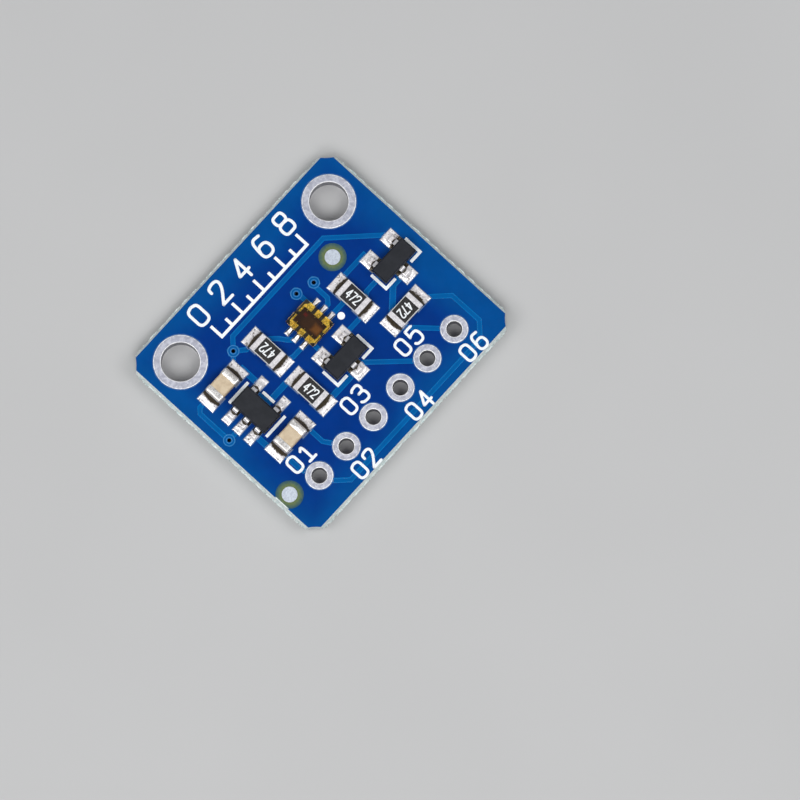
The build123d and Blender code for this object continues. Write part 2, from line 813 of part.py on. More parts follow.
# Moulded packages with gull-wing leads
def gull_wings(plane, package, leads):
    """One bent strip for each lead, from inside the moulding out and down to its foot."""
    half = package.across / 2
    foot_level = solder_film + package.lead_thickness / 2
    tip = package.lead_span / 2
    heel = tip - package.foot
    shoulder = min(half + lead_shoulder, heel - package.bend)
    with BuildPart() as strips:
        for side, row in leads:
            with BuildSketch(side_view(plane, row * package.pitch, side)):
                with BuildLine():
                    FilletPolyline(
                        (half - lead_embed, package.split),
                        (shoulder, package.split),
                        (heel, foot_level),
                        (tip, foot_level),
                        radius=package.bend,
                    )
                trace(line_width=package.lead_thickness)
            extrude(amount=package.lead_width / 2, both=True)
    return strips.part


def moulding(plane, package, leads):
    """The moulded body, which tapers away from its parting line and holds the ends of its leads."""
    slope = tan(radians(body_draft))
    shoulder = package.height - body_chamfer
    sections = (
        (package.standoff, (package.split - package.standoff) * slope),
        (package.split, 0.0),
        (shoulder, (shoulder - package.split) * slope),
        (package.height, (shoulder - package.split) * slope + body_chamfer),
    )
    with BuildPart() as body:
        for height, inset in sections:
            with BuildSketch(plane.offset(height)):
                Rectangle(package.across - 2 * inset, package.along - 2 * inset)
        loft(ruled=True)
        add(leads, mode=Mode.SUBTRACT)
    return body


def moulded_package(plane, package, leads, name):
    """The moulding and its leads, each kept as a node. Returns the leads."""
    strips = gull_wings(plane, package, leads)
    keep(moulding(plane, package, strips), f"{name}_body")
    with BuildPart() as kept_leads:
        add(strips)
    keep(kept_leads, f"{name}_leads")
    return strips


regulator_strips = moulded_package(regulator_seat, regulator, regulator_leads, "regulator")
transistor_strips = [
    moulded_package(plane, transistor, transistor_leads, f"transistor_{i + 1}")
    for i, plane in enumerate(transistor_seats)
]

# Light sensor: a clear moulding over a gold frame, with the die and its wires cast inside
frame_bottom = solder_film
frame_top = frame_bottom + contact_thickness
die_top = frame_top + die_height
half_across = sensor_across / 2
half_along = sensor_along / 2

with BuildPart() as contacts:
    with BuildSketch(sensor_seat.offset(frame_bottom)):
        for side in (-1, 1):
            with Locations((side * (half_across - contact_reach / 2), 0)):
                Rectangle(contact_reach, contact_width)
            for end in (-1, 1):
                low = contact_pitch - contact_width / 2
                high = half_along - contact_arm
                Polygon(
                    *[
                        (side * u, end * v)
                        for u, v in (
                            (half_across, low),
                            (half_across - contact_reach, low),
                            (half_across - contact_reach, high - contact_arm),
                            (half_across - contact_arm_reach, high - contact_arm),
                            (half_across - contact_arm_reach, high),
                            (half_across - contact_notch, high),
                            (half_across, high - contact_notch),
                        )
                    ],
                    align=None,
                )
    extrude(amount=contact_thickness)
keep(contacts, "sensor_contacts")

with BuildPart() as paddle:
    with BuildSketch(sensor_seat.offset(frame_bottom)):
        Rectangle(die_across - 2 * paddle_inset, die_along - 2 * paddle_inset)
    extrude(amount=contact_thickness)
keep(paddle, "sensor_paddle")

with BuildPart() as die:
    with BuildSketch(sensor_seat.offset(frame_top)):
        Rectangle(die_across, die_along)
    extrude(amount=die_height)
keep(die, "sensor_die")

with BuildPart() as wires:
    wire_start = die_across / 2 - wire_inset
    wire_end = half_across - contact_reach / 2
    for side, row in sensor_leads:
        with BuildLine(side_view(sensor_seat, row * contact_pitch, side)) as loop:
            Polyline(
                (wire_start, die_top),
                (wire_start, die_top + wire_rise),
                ((wire_start + wire_end) / 2, die_top + wire_rise),
                (wire_end, frame_top + die_height / 2),
                (wire_end, frame_top),
            )
        with BuildSketch(Plane(origin=loop.line @ 0, z_dir=loop.line % 0)):
            RegularPolygon(wire_width / 2, wire_sides)
        sweep(path=loop.line, transition=Transition.RIGHT)
keep(wires, "sensor_bond_wires")

with BuildPart() as resin:
    with BuildSketch(sensor_seat.offset(frame_bottom)):
        Rectangle(sensor_across, sensor_along)
    extrude(amount=sensor_height)
    chamfer(resin.faces().sort_by(Axis.Z)[-1].edges(), sensor_chamfer)
    add(contacts.part, mode=Mode.SUBTRACT)
    add(paddle.part, mode=Mode.SUBTRACT)
    add(die.part, mode=Mode.SUBTRACT)
    add(wires.part, mode=Mode.SUBTRACT)
keep(resin, "sensor_body")


# Solder: a film under each piece of metal and a fillet that climbs its end, as a ruled mound
def mound(plane, side, v, sections):
    """A mound of rectangles given as (level, inner u, outer u, width), the lowest first."""
    with BuildPart() as heap:
        for height, inner, outer, width in sections:
            with BuildSketch(plane.offset(height)):
                with Locations((side * (inner + outer) / 2, v)):
                    Rectangle(outer - inner, width)
        loft(ruled=True)
    return heap.part


def film_steps(inner, outer, width):
    """The thin film of solder that covers a land, a little narrower at its top."""
    return [
        (0, inner, outer, width),
        (solder_film, inner + solder_inset, outer - solder_inset, width - 2 * solder_inset),
    ]


def chip_solder(plane, name):
    """Both joints of a chip, cut to the chip's own ends."""
    outer = chip_land_span / 2
    end = chip_length / 2
    toe = outer - end
    heel = end - resistor_band
    fillet_steps = [
        (solder_film + climb * chip_solder_climb, heel, end + reach * toe, chip_width + wider)
        for climb, reach, wider in chip_solder_steps
    ]
    with BuildPart() as joints:
        for side in (-1, 1):
            add(mound(plane, side, 0, film_steps(outer - chip_land_length, outer, chip_land_width)))
            add(mound(plane, side, 0, fillet_steps))
        with BuildSketch(plane.offset(solder_film)):
            Rectangle(chip_length, chip_width)
        extrude(amount=capacitor_height, mode=Mode.SUBTRACT)
    keep(joints, name)


def lead_solder(plane, package, leads, strips, name):
    """The joints of a package with bent leads, cut to its feet."""
    outer = package.land_span / 2
    tip = package.lead_span / 2
    top = (
        solder_film + lead_solder_climb,
        tip - package.foot - lead_solder_heel,
        tip + lead_solder_toe,
        package.lead_width + 2 * lead_solder_side,
    )
    steps = [*film_steps(outer - package.land_length, outer, package.land_width), top]
    with BuildPart() as joints:
        for side, row in leads:
            add(mound(plane, side, row * package.pitch, steps))
        add(strips, mode=Mode.SUBTRACT)
    keep(joints, name)


for i, plane in enumerate(resistor_seats):
    chip_solder(plane, f"resistor_{i + 1}_solder")
for i, plane in enumerate(capacitor_seats):
    chip_solder(plane, f"capacitor_{i + 1}_solder")
lead_solder(regulator_seat, regulator, regulator_leads, regulator_strips, "regulator_solder")
for i, (plane, strips) in enumerate(zip(transistor_seats, transistor_strips)):
    lead_solder(plane, transistor, transistor_leads, strips, f"transistor_{i + 1}_solder")

sensor_land_end = sensor_land_span / 2
sensor_steps = [
    *film_steps(sensor_land_end - sensor_land_length, sensor_land_end, sensor_land_width),
    (
        frame_top,
        sensor_land_end - sensor_land_length + solder_inset,
        half_across + sensor_solder_toe,
        sensor_land_width - 2 * sensor_solder_side,
    ),
]
with BuildPart() as sensor_solder:
    for side, row in sensor_leads:
        add(mound(sensor_seat, side, row * contact_pitch, sensor_steps))
    with BuildSketch(sensor_seat.offset(solder_film)):
        Rectangle(sensor_across, sensor_along)
    extrude(amount=sensor_height, mode=Mode.SUBTRACT)
keep(sensor_solder, "sensor_solder")
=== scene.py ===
"""Looks of the light sensor module: finishes, soft edges, solder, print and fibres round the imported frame.

Lengths are in millimetres, measured from the frame's origin, and become metres where a piece is placed.
"""

import logging
import math
from dataclasses import dataclass
from enum import Enum
from typing import Sequence

import bmesh
import bpy
from mathutils import Matrix, Vector, noise
from mathutils.bvhtree import BVHTree


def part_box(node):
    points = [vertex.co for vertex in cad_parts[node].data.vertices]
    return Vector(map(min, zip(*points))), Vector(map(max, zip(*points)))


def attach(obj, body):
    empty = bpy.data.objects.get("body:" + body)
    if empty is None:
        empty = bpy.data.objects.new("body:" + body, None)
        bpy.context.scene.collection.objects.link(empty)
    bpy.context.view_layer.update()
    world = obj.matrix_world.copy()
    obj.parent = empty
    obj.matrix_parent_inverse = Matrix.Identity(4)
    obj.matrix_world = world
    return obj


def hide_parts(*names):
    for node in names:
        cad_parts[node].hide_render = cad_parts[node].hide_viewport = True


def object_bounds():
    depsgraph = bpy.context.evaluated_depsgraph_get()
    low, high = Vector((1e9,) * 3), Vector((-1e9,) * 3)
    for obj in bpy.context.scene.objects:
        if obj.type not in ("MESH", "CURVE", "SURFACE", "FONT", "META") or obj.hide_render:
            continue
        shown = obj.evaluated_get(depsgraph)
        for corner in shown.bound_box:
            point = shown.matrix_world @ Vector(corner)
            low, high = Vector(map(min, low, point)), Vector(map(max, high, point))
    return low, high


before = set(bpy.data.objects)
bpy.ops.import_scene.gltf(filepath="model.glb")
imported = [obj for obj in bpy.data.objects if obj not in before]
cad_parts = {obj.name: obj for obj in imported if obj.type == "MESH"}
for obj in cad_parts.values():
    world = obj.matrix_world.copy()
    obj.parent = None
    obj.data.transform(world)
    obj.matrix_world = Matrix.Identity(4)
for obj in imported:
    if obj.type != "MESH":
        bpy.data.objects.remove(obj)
CAD_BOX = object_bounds()

MM = 0.001
BODY = "root"
BOARD_MIDDLE = 0.8  # height of the middle of the board's thickness
DIGIT_WIDTH = 0.62  # of a digit one high
LOG = logging.getLogger("light_sensor_module")
Box = tuple[Vector, Vector]
Colour = tuple[float, float, float]
Point = tuple[float, float]


def box_of(node: str) -> Box:
    """The lowest and highest corner of a frame node, in millimetres."""
    low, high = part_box(node)
    return low / MM, high / MM


def middle_of(box: Box) -> Vector:
    """The middle of a box."""
    return (box[0] + box[1]) / 2


def islands(node: str) -> list[Box]:
    """Finds the separate solids of a frame node.

    Args:
        node: the node's name.

    Returns:
        One box for each solid, in millimetres, ordered by x and then y.
    """
    solid = merged(node)
    seen: set[int] = set()
    boxes = []
    for start in solid.verts:
        if start.index in seen:
            continue
        seen.add(start.index)
        group = [start]
        for vert in group:
            for edge in vert.link_edges:
                other = edge.other_vert(vert)
                if other.index not in seen:
                    seen.add(other.index)
                    group.append(other)
        low = Vector(min(v.co[axis] for v in group) for axis in range(3))
        high = Vector(max(v.co[axis] for v in group) for axis in range(3))
        boxes.append((low, high))
    solid.free()
    return sorted(boxes, key=lambda b: (round(b[0].x, 3), round(b[0].y, 3)))


def merged(node: str) -> bmesh.types.BMesh:
    """Copies a frame node's mesh with its loose triangles joined, in millimetres.

    Args:
        node: the node's name.

    Returns:
        A new bmesh, which the caller frees.
    """
    solid = bmesh.new()
    solid.from_mesh(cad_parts[node].data)
    bmesh.ops.scale(solid, vec=(1 / MM,) * 3, verts=solid.verts)
    bmesh.ops.remove_doubles(solid, verts=solid.verts, dist=0.0005)
    solid.verts.index_update()
    return solid


def flattened(node: str) -> bmesh.types.BMesh:
    """Copies a frame node's mesh as merged does, with each flat side made one face."""
    solid = merged(node)
    flat = math.radians(1.5)
    bmesh.ops.dissolve_limit(solid, angle_limit=flat, verts=solid.verts, edges=solid.edges, delimit=set())
    return solid


def folds(edge: bmesh.types.BMEdge, degrees: float) -> bool:
    """Whether the two faces at an edge turn by more than an angle."""
    return len(edge.link_faces) == 2 and edge.calc_face_angle(0.0) > math.radians(degrees)


def cut_up(solid: bmesh.types.BMesh) -> None:
    """Cuts faces of more than four corners into triangles."""
    bmesh.ops.triangulate(solid, faces=[face for face in solid.faces if len(face.verts) > 4])


def rounded(
    solid: bmesh.types.BMesh, edges: Sequence[bmesh.types.BMEdge], width: float, segments: int
) -> None:
    """Rounds edges of a bmesh over a width, in a number of steps."""
    bmesh.ops.bevel(
        solid, geom=edges, offset=width, segments=segments, profile=0.5, affect="EDGES", clamp_overlap=True
    )


def block(middle: Vector, size: Vector) -> bmesh.types.BMesh:
    """A new bmesh with one box in it, in millimetres."""
    solid = bmesh.new()
    bmesh.ops.create_cube(solid, size=1.0)
    bmesh.ops.scale(solid, vec=size, verts=solid.verts)
    bmesh.ops.translate(solid, vec=middle, verts=solid.verts)
    return solid


def settled(mesh: bpy.types.Mesh, sharp_degrees: float = 40.0) -> bpy.types.Mesh:
    """Turns a mesh made in millimetres into a finished one in metres, smooth between its sharp edges."""
    mesh.transform(Matrix.Scale(MM, 4))
    mesh.shade_smooth()
    mesh.set_sharp_from_angle(angle=math.radians(sharp_degrees))
    return mesh


def from_bmesh(solid: bmesh.types.BMesh, name: str, sharp_degrees: float = 40.0) -> bpy.types.Mesh:
    """Writes a bmesh in millimetres to a finished mesh and frees it."""
    bmesh.ops.recalc_face_normals(solid, faces=solid.faces)
    mesh = bpy.data.meshes.new(name)
    solid.to_mesh(mesh)
    solid.free()
    return settled(mesh, sharp_degrees)


def piece(
    name: str,
    mesh: bpy.types.Mesh,
    finish: "Finish",
    stands_for: Sequence[str] = (),
) -> bpy.types.Object:
    """Adds a finished piece to the module.

    Args:
        name: the piece's name.
        mesh: its mesh in metres, in the frame's own place.
        finish: the finish that it wears.
        stands_for: frame nodes that it is shown instead of.

    Returns:
        The new object, which rides on the module's one body.
    """
    made = bpy.data.objects.new(name, mesh)
    bpy.context.scene.collection.objects.link(made)
    mesh.materials.clear()
    mesh.materials.append(finish.material())
    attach(made, BODY)
    if stands_for:
        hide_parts(*stands_for)
    LOG.info("%s: %d faces", name, len(mesh.polygons))
    return made


def dress(node: str, finish: "Finish") -> None:
    """Gives a frame node, whose shape is kept, its finish."""
    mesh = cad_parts[node].data
    mesh.materials.clear()
    mesh.materials.append(finish.material())
    LOG.info("%s: %s", node, finish.name)


class Graph:
    """A material's node tree, with short ways to add the nodes that the finishes share."""

    def __init__(self, name: str) -> None:
        """Starts a material with an empty Principled shader.

        Args:
            name: the material's name.
        """
        self.material = bpy.data.materials.new(name)
        self.material.use_nodes = True
        self.nodes = self.material.node_tree.nodes
        self.links = self.material.node_tree.links
        self.nodes.clear()
        output = self.nodes.new("ShaderNodeOutputMaterial")
        self.shader = self.nodes.new("ShaderNodeBsdfPrincipled")
        self.links.new(self.shader.outputs["BSDF"], output.inputs["Surface"])
        self._place: bpy.types.NodeSocket | None = None

    def feed(self, socket: bpy.types.NodeSocket, value: object) -> None:
        """Links a socket or writes a plain value into an input."""
        if isinstance(value, bpy.types.NodeSocket):
            self.links.new(value, socket)
        elif isinstance(value, tuple) and len(value) == 3 and socket.type == "RGBA":
            socket.default_value = (*value, 1.0)
        else:
            socket.default_value = value

    def set(self, **values: object) -> None:
        """Feeds inputs of the shader, named with underscores for spaces."""
        for name, value in values.items():
            self.feed(self.shader.inputs[name.replace("_", " ")], value)

    @property
    def place(self) -> bpy.types.NodeSocket:
        """Object coordinates in millimetres."""
        if self._place is None:
            coordinates = self.nodes.new("ShaderNodeTexCoord")
            scale = self.nodes.new("ShaderNodeVectorMath")
            scale.operation = "SCALE"
            scale.inputs["Scale"].default_value = 1 / MM
            self.links.new(coordinates.outputs["Object"], scale.inputs[0])
            self._place = scale.outputs["Vector"]
        return self._place

    def axes(self) -> tuple[bpy.types.NodeSocket, ...]:
        """The x, y and z of the place, in millimetres."""
        split = self.nodes.new("ShaderNodeSeparateXYZ")
        self.links.new(self.place, split.inputs[0])
        return tuple(split.outputs)

    def stretched(self, x: float, y: float, z: float) -> bpy.types.NodeSocket:
        """The place with each axis scaled, for streaks and grain."""
        mapping = self.nodes.new("ShaderNodeMapping")
        mapping.inputs["Scale"].default_value = (x, y, z)
        self.links.new(self.place, mapping.inputs["Vector"])
        return mapping.outputs["Vector"]

    def noise(
        self,
        per_mm: float,
        detail: float = 3.0,
        roughness: float = 0.55,
        distortion: float = 0.0,
        vector: bpy.types.NodeSocket | None = None,
    ) -> bpy.types.NodeSocket:
        """Smooth noise with so many features to the millimetre.

        Args:
            per_mm: the noise's scale.
            detail: the number of finer layers.
            roughness: how strong the finer layers are.
            distortion: how far the pattern is warped.
            vector: coordinates other than the plain place.

        Returns:
            The noise's value, from 0 to 1.
        """
        node = self.nodes.new("ShaderNodeTexNoise")
        node.inputs["Scale"].default_value = per_mm
        node.inputs["Detail"].default_value = detail
        node.inputs["Roughness"].default_value = roughness
        node.inputs["Distortion"].default_value = distortion
        self.links.new(vector or self.place, node.inputs["Vector"])
        return node.outputs["Fac"]

    def math(self, operation: str, *values: object) -> bpy.types.NodeSocket:
        """One step of arithmetic on sockets or numbers."""
        node = self.nodes.new("ShaderNodeMath")
        node.operation = operation
        for socket, value in zip(node.inputs, values):
            self.feed(socket, value)
        return node.outputs[0]

    def wavered(
        self, value: bpy.types.NodeSocket, noise: bpy.types.NodeSocket, amount: float
    ) -> bpy.types.NodeSocket:
        """Shifts a value by noise, up and down by half the amount at most."""
        return self.math("ADD", value, self.math("MULTIPLY_ADD", noise, amount, -amount / 2))

    def spread(
        self, value: bpy.types.NodeSocket, start: float, end: float, low: float = 0.0, high: float = 1.0
    ) -> bpy.types.NodeSocket:
        """Maps start..end of a value smoothly to low..high, and holds it beyond."""
        node = self.nodes.new("ShaderNodeMapRange")
        node.interpolation_type = "SMOOTHSTEP"
        for name, number in (("From Min", start), ("From Max", end), ("To Min", low), ("To Max", high)):
            node.inputs[name].default_value = number
        self.links.new(value, node.inputs["Value"])
        return node.outputs["Result"]

    def mix(self, share: object, first: object, second: object, blend: str = "MIX") -> bpy.types.NodeSocket:
        """Blends two colours by a share from 0 to 1."""
        node = self.nodes.new("ShaderNodeMix")
        node.data_type = "RGBA"
        node.blend_type = blend
        self.feed(node.inputs["Factor"], share)
        self.feed(node.inputs[6], first)
        self.feed(node.inputs[7], second)
        return node.outputs[2]

    def nearest(self, spots: Sequence[Point]) -> bpy.types.NodeSocket:
        """Distance in plan to the nearest of several spots, in millimetres."""
        x, y, _ = self.axes()
        near: bpy.types.NodeSocket | None = None
        for spot_x, spot_y in spots:
            dx = self.math("SUBTRACT", x, spot_x)
            dy = self.math("SUBTRACT", y, spot_y)
            square = self.math("ADD", self.math("MULTIPLY", dx, dx), self.math("MULTIPLY", dy, dy))
            off = self.math("SQRT", square)
            near = off if near is None else self.math("MINIMUM", near, off)
        return near

    def relief(self, height: object, depth: float, below: object = None) -> bpy.types.NodeSocket:
        """Bumps the surface.

        Args:
            height: a socket from 0 to 1.
            depth: the height in millimetres that 1 stands for.
            below: a coarser relief that this one lies on.

        Returns:
            The bumped normal.
        """
        node = self.nodes.new("ShaderNodeBump")
        node.inputs["Distance"].default_value = depth * MM
        self.feed(node.inputs["Height"], height)
        if below is not None:
            self.links.new(below, node.inputs["Normal"])
        return node.outputs["Normal"]


MADE: dict[str, bpy.types.Material] = {}


@dataclass(frozen=True)
class Finish:
    """A named surface finish. Each kind builds its own node tree once."""

    name: str
    slot: str

    def paint(self, graph: Graph) -> None:
        """Fills in the node tree."""
        raise NotImplementedError

    def material(self) -> bpy.types.Material:
        """The finish's material, made the first time that it is asked for."""
        if self.name not in MADE:
            graph = Graph(self.name)
            self.paint(graph)
            MADE[self.name] = graph.material
        return MADE[self.name]


@dataclass(frozen=True)
class MaskFinish(Finish):
    """Glossy blue solder mask, lighter where it rises over foil, with painted light that makes it lighter
    towards the board's edges.
    """

    deep: Colour = (0.0, 0.033, 0.220)
    # painted light: the lighter blue laid towards the board's edges
    edge: Colour = (0.0, 0.070, 0.280)
    over_foil: Colour = (0.0, 0.108, 0.350)
    foil_from: float = 1.562
    foil_to: float = 1.588
    foil_share: float = 0.85
    half_x: float = 9.3
    half_y: float = 8.0
    edge_from: float = 0.68
    edge_to: float = 0.98
    drift_per_mm: float = 0.16
    drift: float = 0.5
    streak_per_mm: float = 0.9
    ripple_depth: float = 0.003
    grain_depth: float = 0.0003

    def paint(self, graph: Graph) -> None:
        """Blends the three blues by place and height, with a faint ripple in the gloss."""
        x, y, z = graph.axes()
        across = graph.math("DIVIDE", graph.math("ABSOLUTE", x), self.half_x)
        along = graph.math("DIVIDE", graph.math("ABSOLUTE", y), self.half_y)
        outward = graph.math("MAXIMUM", across, along)
        # painted light: the blue is blended towards the lighter edge colour near the board's edges
        drifted = graph.wavered(outward, graph.noise(self.drift_per_mm, 2), self.drift)
        ground = graph.mix(graph.spread(drifted, self.edge_from, self.edge_to), self.deep, self.edge)
        foil = graph.spread(z, self.foil_from, self.foil_to, 0.0, self.foil_share)
        colour = graph.mix(foil, ground, self.over_foil)
        streak = graph.spread(graph.noise(self.streak_per_mm, 3), 0.3, 0.75, 0.94, 1.05)
        ripple = graph.relief(graph.noise(1.4, 2), self.ripple_depth)
        graph.set(
            Base_Color=graph.mix(1.0, colour, streak, "MULTIPLY"),
            Roughness=graph.spread(graph.noise(3.0, 3), 0.3, 0.7, 0.14, 0.20),
            Specular_IOR_Level=0.18,
            Normal=graph.relief(graph.noise(14.0, 2), self.grain_depth, ripple),
        )


@dataclass(frozen=True)
class LaminateFinish(Finish):
    """Glass-fibre laminate: pale and torn on its sides, olive where its face shows in the mask's windows."""

    windows: tuple[Point, ...] = ()
    side: Colour = (0.90, 0.94, 0.92)
    side_dark: Colour = (0.52, 0.66, 0.66)
    window_inner: Colour = (0.12, 0.17, 0.05)
    window_outer: Colour = (0.012, 0.075, 0.10)
    # painted shade: a dark blue on the laminate's face in the narrow gaps between the lands and the mask
    shade: Colour = (0.03, 0.13, 0.36)
    window_from: float = 0.52
    window_to: float = 0.92
    window_reach: float = 1.0
    rim_x: float = 9.22
    rim_y: float = 7.95
    rim_corner: float = 16.5
    bundle_per_mm: float = 5.0
    bundle_depth: float = 0.05
    thread_per_mm: float = 26.0
    thread_depth: float = 0.012

    def paint(self, graph: Graph) -> None:
        """Paints fibre bundles on the sides, rims and milled corners, and green rings in the windows."""
        x, y, _ = graph.axes()
        out_x, out_y = graph.math("ABSOLUTE", x), graph.math("ABSOLUTE", y)
        over_x = graph.math("SUBTRACT", out_x, self.rim_x)
        over_y = graph.math("SUBTRACT", out_y, self.rim_y)
        over_corner = graph.math("SUBTRACT", graph.math("ADD", out_x, out_y), self.rim_corner)
        over = graph.math("MAXIMUM", graph.math("MAXIMUM", over_x, over_y), over_corner)
        rim = graph.math("GREATER_THAN", over, 0.0)
        bundles = graph.noise(self.bundle_per_mm, 5, 0.7, 0.4, graph.stretched(1.0, 1.0, 2.4))
        side = graph.mix(graph.spread(bundles, 0.35, 0.62), self.side_dark, self.side)
        near = graph.nearest(self.windows)
        grained = graph.wavered(near, graph.noise(6.0, 4), 0.3)
        out = graph.spread(grained, self.window_from, self.window_to)
        ring = graph.mix(out, self.window_inner, self.window_outer)
        # outside the windows the face wears the painted shade
        face = graph.mix(graph.math("LESS_THAN", near, self.window_reach), self.shade, ring)
        threads = graph.noise(self.thread_per_mm, 3, 0.6, 0.0, graph.stretched(1.0, 1.0, 0.3))
        graph.set(
            Base_Color=graph.mix(rim, face, side),
            Roughness=graph.spread(bundles, 0.3, 0.7, 0.75, 0.5),
            Normal=graph.relief(threads, self.thread_depth, graph.relief(bundles, self.bundle_depth)),
        )


@dataclass(frozen=True)
class MetalFinish(Finish):
    """Bright metal with duller and darker patches, as tin and solder have."""

    bright: Colour = (0.86, 0.87, 0.90)
    dull: Colour = (0.42, 0.42, 0.45)
    dark: Colour = (0.04, 0.035, 0.035)
    patch_per_mm: float = 3.2
    dark_from: float = 0.63
    dark_to: float = 0.70
    smooth: float = 0.18
    rough: float = 0.42
    relief_depth: float = 0.02
    grain_depth: float = 0.0022
    metallic: float = 1.0

    def paint(self, graph: Graph) -> None:
        """Layers bright, dull and dark patches over a lumpy relief."""
        patches = graph.noise(self.patch_per_mm, 4, 0.6, 0.6)
        specks = graph.noise(self.patch_per_mm * 2.7, 5, 0.65, 1.2)
        body = graph.mix(graph.spread(patches, 0.38, 0.62), self.bright, self.dull)
        # dark specks laid by thresholded noise
        dark_specks = graph.spread(specks, self.dark_from, self.dark_to)
        lumps = graph.relief(graph.noise(self.patch_per_mm * 0.8, 3, 0.5, 0.5), self.relief_depth)
        fine = graph.relief(graph.noise(self.patch_per_mm * 9, 3, 0.6), self.grain_depth, lumps)
        graph.set(
            Base_Color=graph.mix(dark_specks, body, self.dark),
            Metallic=self.metallic,
            Roughness=graph.spread(specks, 0.35, 0.68, self.smooth, self.rough),
            Normal=fine,
        )


@dataclass(frozen=True)
class RingFinish(MetalFinish):
    """Tinned rings of the holes: painted highlight lines along both rims, and painted shade on the dull wall
    down the hole.
    """

    centres: tuple[Point, ...] = ()
    inner: float = 1.0
    outer: float = 2.0
    line: float = 0.075
    # painted highlight along both rims
    rim: Colour = (1.0, 1.0, 1.0)
    waver: float = 0.08
    flat: float = 0.795
    band: float = 0.05
    fade: float = 0.02
    # painted shade down the hole
    wall: Colour = (0.22, 0.22, 0.26)

    def paint(self, graph: Graph) -> None:
        """Tins the ring, then paints highlights on its rims and paints shade on the wall below them."""
        super().paint(graph)
        *_, z = graph.axes()
        off = graph.math("ABSOLUTE", graph.math("SUBTRACT", z, BOARD_MIDDLE))
        grain = graph.noise(4.0, 3)
        wavy = graph.wavered(graph.nearest(self.centres), grain, self.waver)
        outer = graph.spread(wavy, self.outer - self.line, self.outer - 0.4 * self.line)
        inner = graph.spread(wavy, self.inner + 0.4 * self.line, self.inner + self.line, 1.0, 0.0)
        # noise breaks the painted rim highlights into pieces
        worn = graph.spread(grain, 0.35, 0.55, 0.45, 1.0)
        rims = graph.math("MULTIPLY", graph.math("MAXIMUM", outer, inner), worn)
        below = graph.spread(off, self.flat - self.band - self.fade, self.flat - self.band, 1.0, 0.0)
        tinned = graph.shader.inputs["Base Color"].links[0].from_socket
        graph.set(Base_Color=graph.mix(below, graph.mix(rims, tinned, self.rim), self.wall))


@dataclass(frozen=True)
class LeadFinish(Finish):
    """Plated leads: bright on their flats, with painted shade and dark reflection on the slope between the
    shoulder and the foot.
    """

    bright: Colour = (0.95, 0.93, 0.94)
    dull: Colour = (0.60, 0.58, 0.59)
    # painted shade and dark reflection on the slope
    dark: Colour = (0.05, 0.045, 0.04)
    slope_low: float = 1.86
    slope_high: float = 2.04
    slope_fade: float = 0.06
    waver: float = 0.08
    metallic: float = 0.5
    grain_depth: float = 0.002

    def paint(self, graph: Graph) -> None:
        """Bright and dull plating, with a band of painted shade and dark reflection on the slope, placed by
        height.
        """
        *_, z = graph.axes()
        wavy = graph.wavered(z, graph.noise(9.0, 3), self.waver)
        above = graph.spread(wavy, self.slope_low - self.slope_fade, self.slope_low)
        below = graph.spread(wavy, self.slope_high, self.slope_high + self.slope_fade, 1.0, 0.0)
        patches = graph.noise(6.0, 4, 0.6, 0.6)
        body = graph.mix(graph.spread(patches, 0.45, 0.7), self.bright, self.dull)
        graph.set(
            Base_Color=graph.mix(graph.math("MULTIPLY", above, below), body, self.dark),
            Metallic=self.metallic,
            Roughness=graph.spread(patches, 0.35, 0.68, 0.18, 0.36),
            Normal=graph.relief(graph.noise(24.0, 3), self.grain_depth),
        )


@dataclass(frozen=True)
class SolderFinish(Finish):
    """Bright solder, painted dark where its skin climbs steeply, as the shade attribute says: painted shade
    and painted dark reflection.
    """

    bright: Colour = (1.0, 0.97, 0.98)
    dull: Colour = (0.60, 0.56, 0.58)
    # painted shade and dark reflection, laid where the skin climbs steeply and in small flecks
    dark: Colour = (0.070, 0.054, 0.034)
    patch_per_mm: float = 3.4
    fleck_per_mm: float = 7.0
    fleck_share: float = 0.8
    band_from: float = 0.42
    band_to: float = 0.74
    band_waver: float = 1.3
    metallic: float = 0.35
    lump_depth: float = 0.02
    grain_depth: float = 0.0022
    attribute: str = "shade"

    def paint(self, graph: Graph) -> None:
        """Mixes bright and dull tin, bands of painted shade and dark reflection where the skin climbs, and
        small flecks of painted dark reflection.
        """
        patches = graph.noise(self.patch_per_mm, 4, 0.6, 0.8)
        # small flecks of painted dark reflection
        painted_reflection_flecks = graph.spread(graph.noise(self.fleck_per_mm, 3, 0.6, 0.8), 0.56, 0.64)
        # the shade attribute holds the painted shade that each joint lays on its skin
        climb = graph.nodes.new("ShaderNodeAttribute")
        climb.attribute_name = self.attribute
        wavy = graph.wavered(climb.outputs["Fac"], graph.noise(4.5, 5, 0.65, 1.0), self.band_waver)
        band = graph.spread(wavy, self.band_from, self.band_to)
        body = graph.mix(graph.spread(patches, 0.48, 0.70), self.bright, self.dull)
        dark = graph.math("MAXIMUM", band, graph.math("MULTIPLY", painted_reflection_flecks, self.fleck_share))
        lumps = graph.relief(graph.noise(self.patch_per_mm, 3, 0.5, 0.5), self.lump_depth)
        graph.set(
            Base_Color=graph.mix(dark, body, self.dark),
            Metallic=self.metallic,
            Roughness=graph.spread(patches, 0.35, 0.68, 0.16, 0.34),
            Normal=graph.relief(graph.noise(22.0, 3, 0.6), self.grain_depth, lumps),
        )


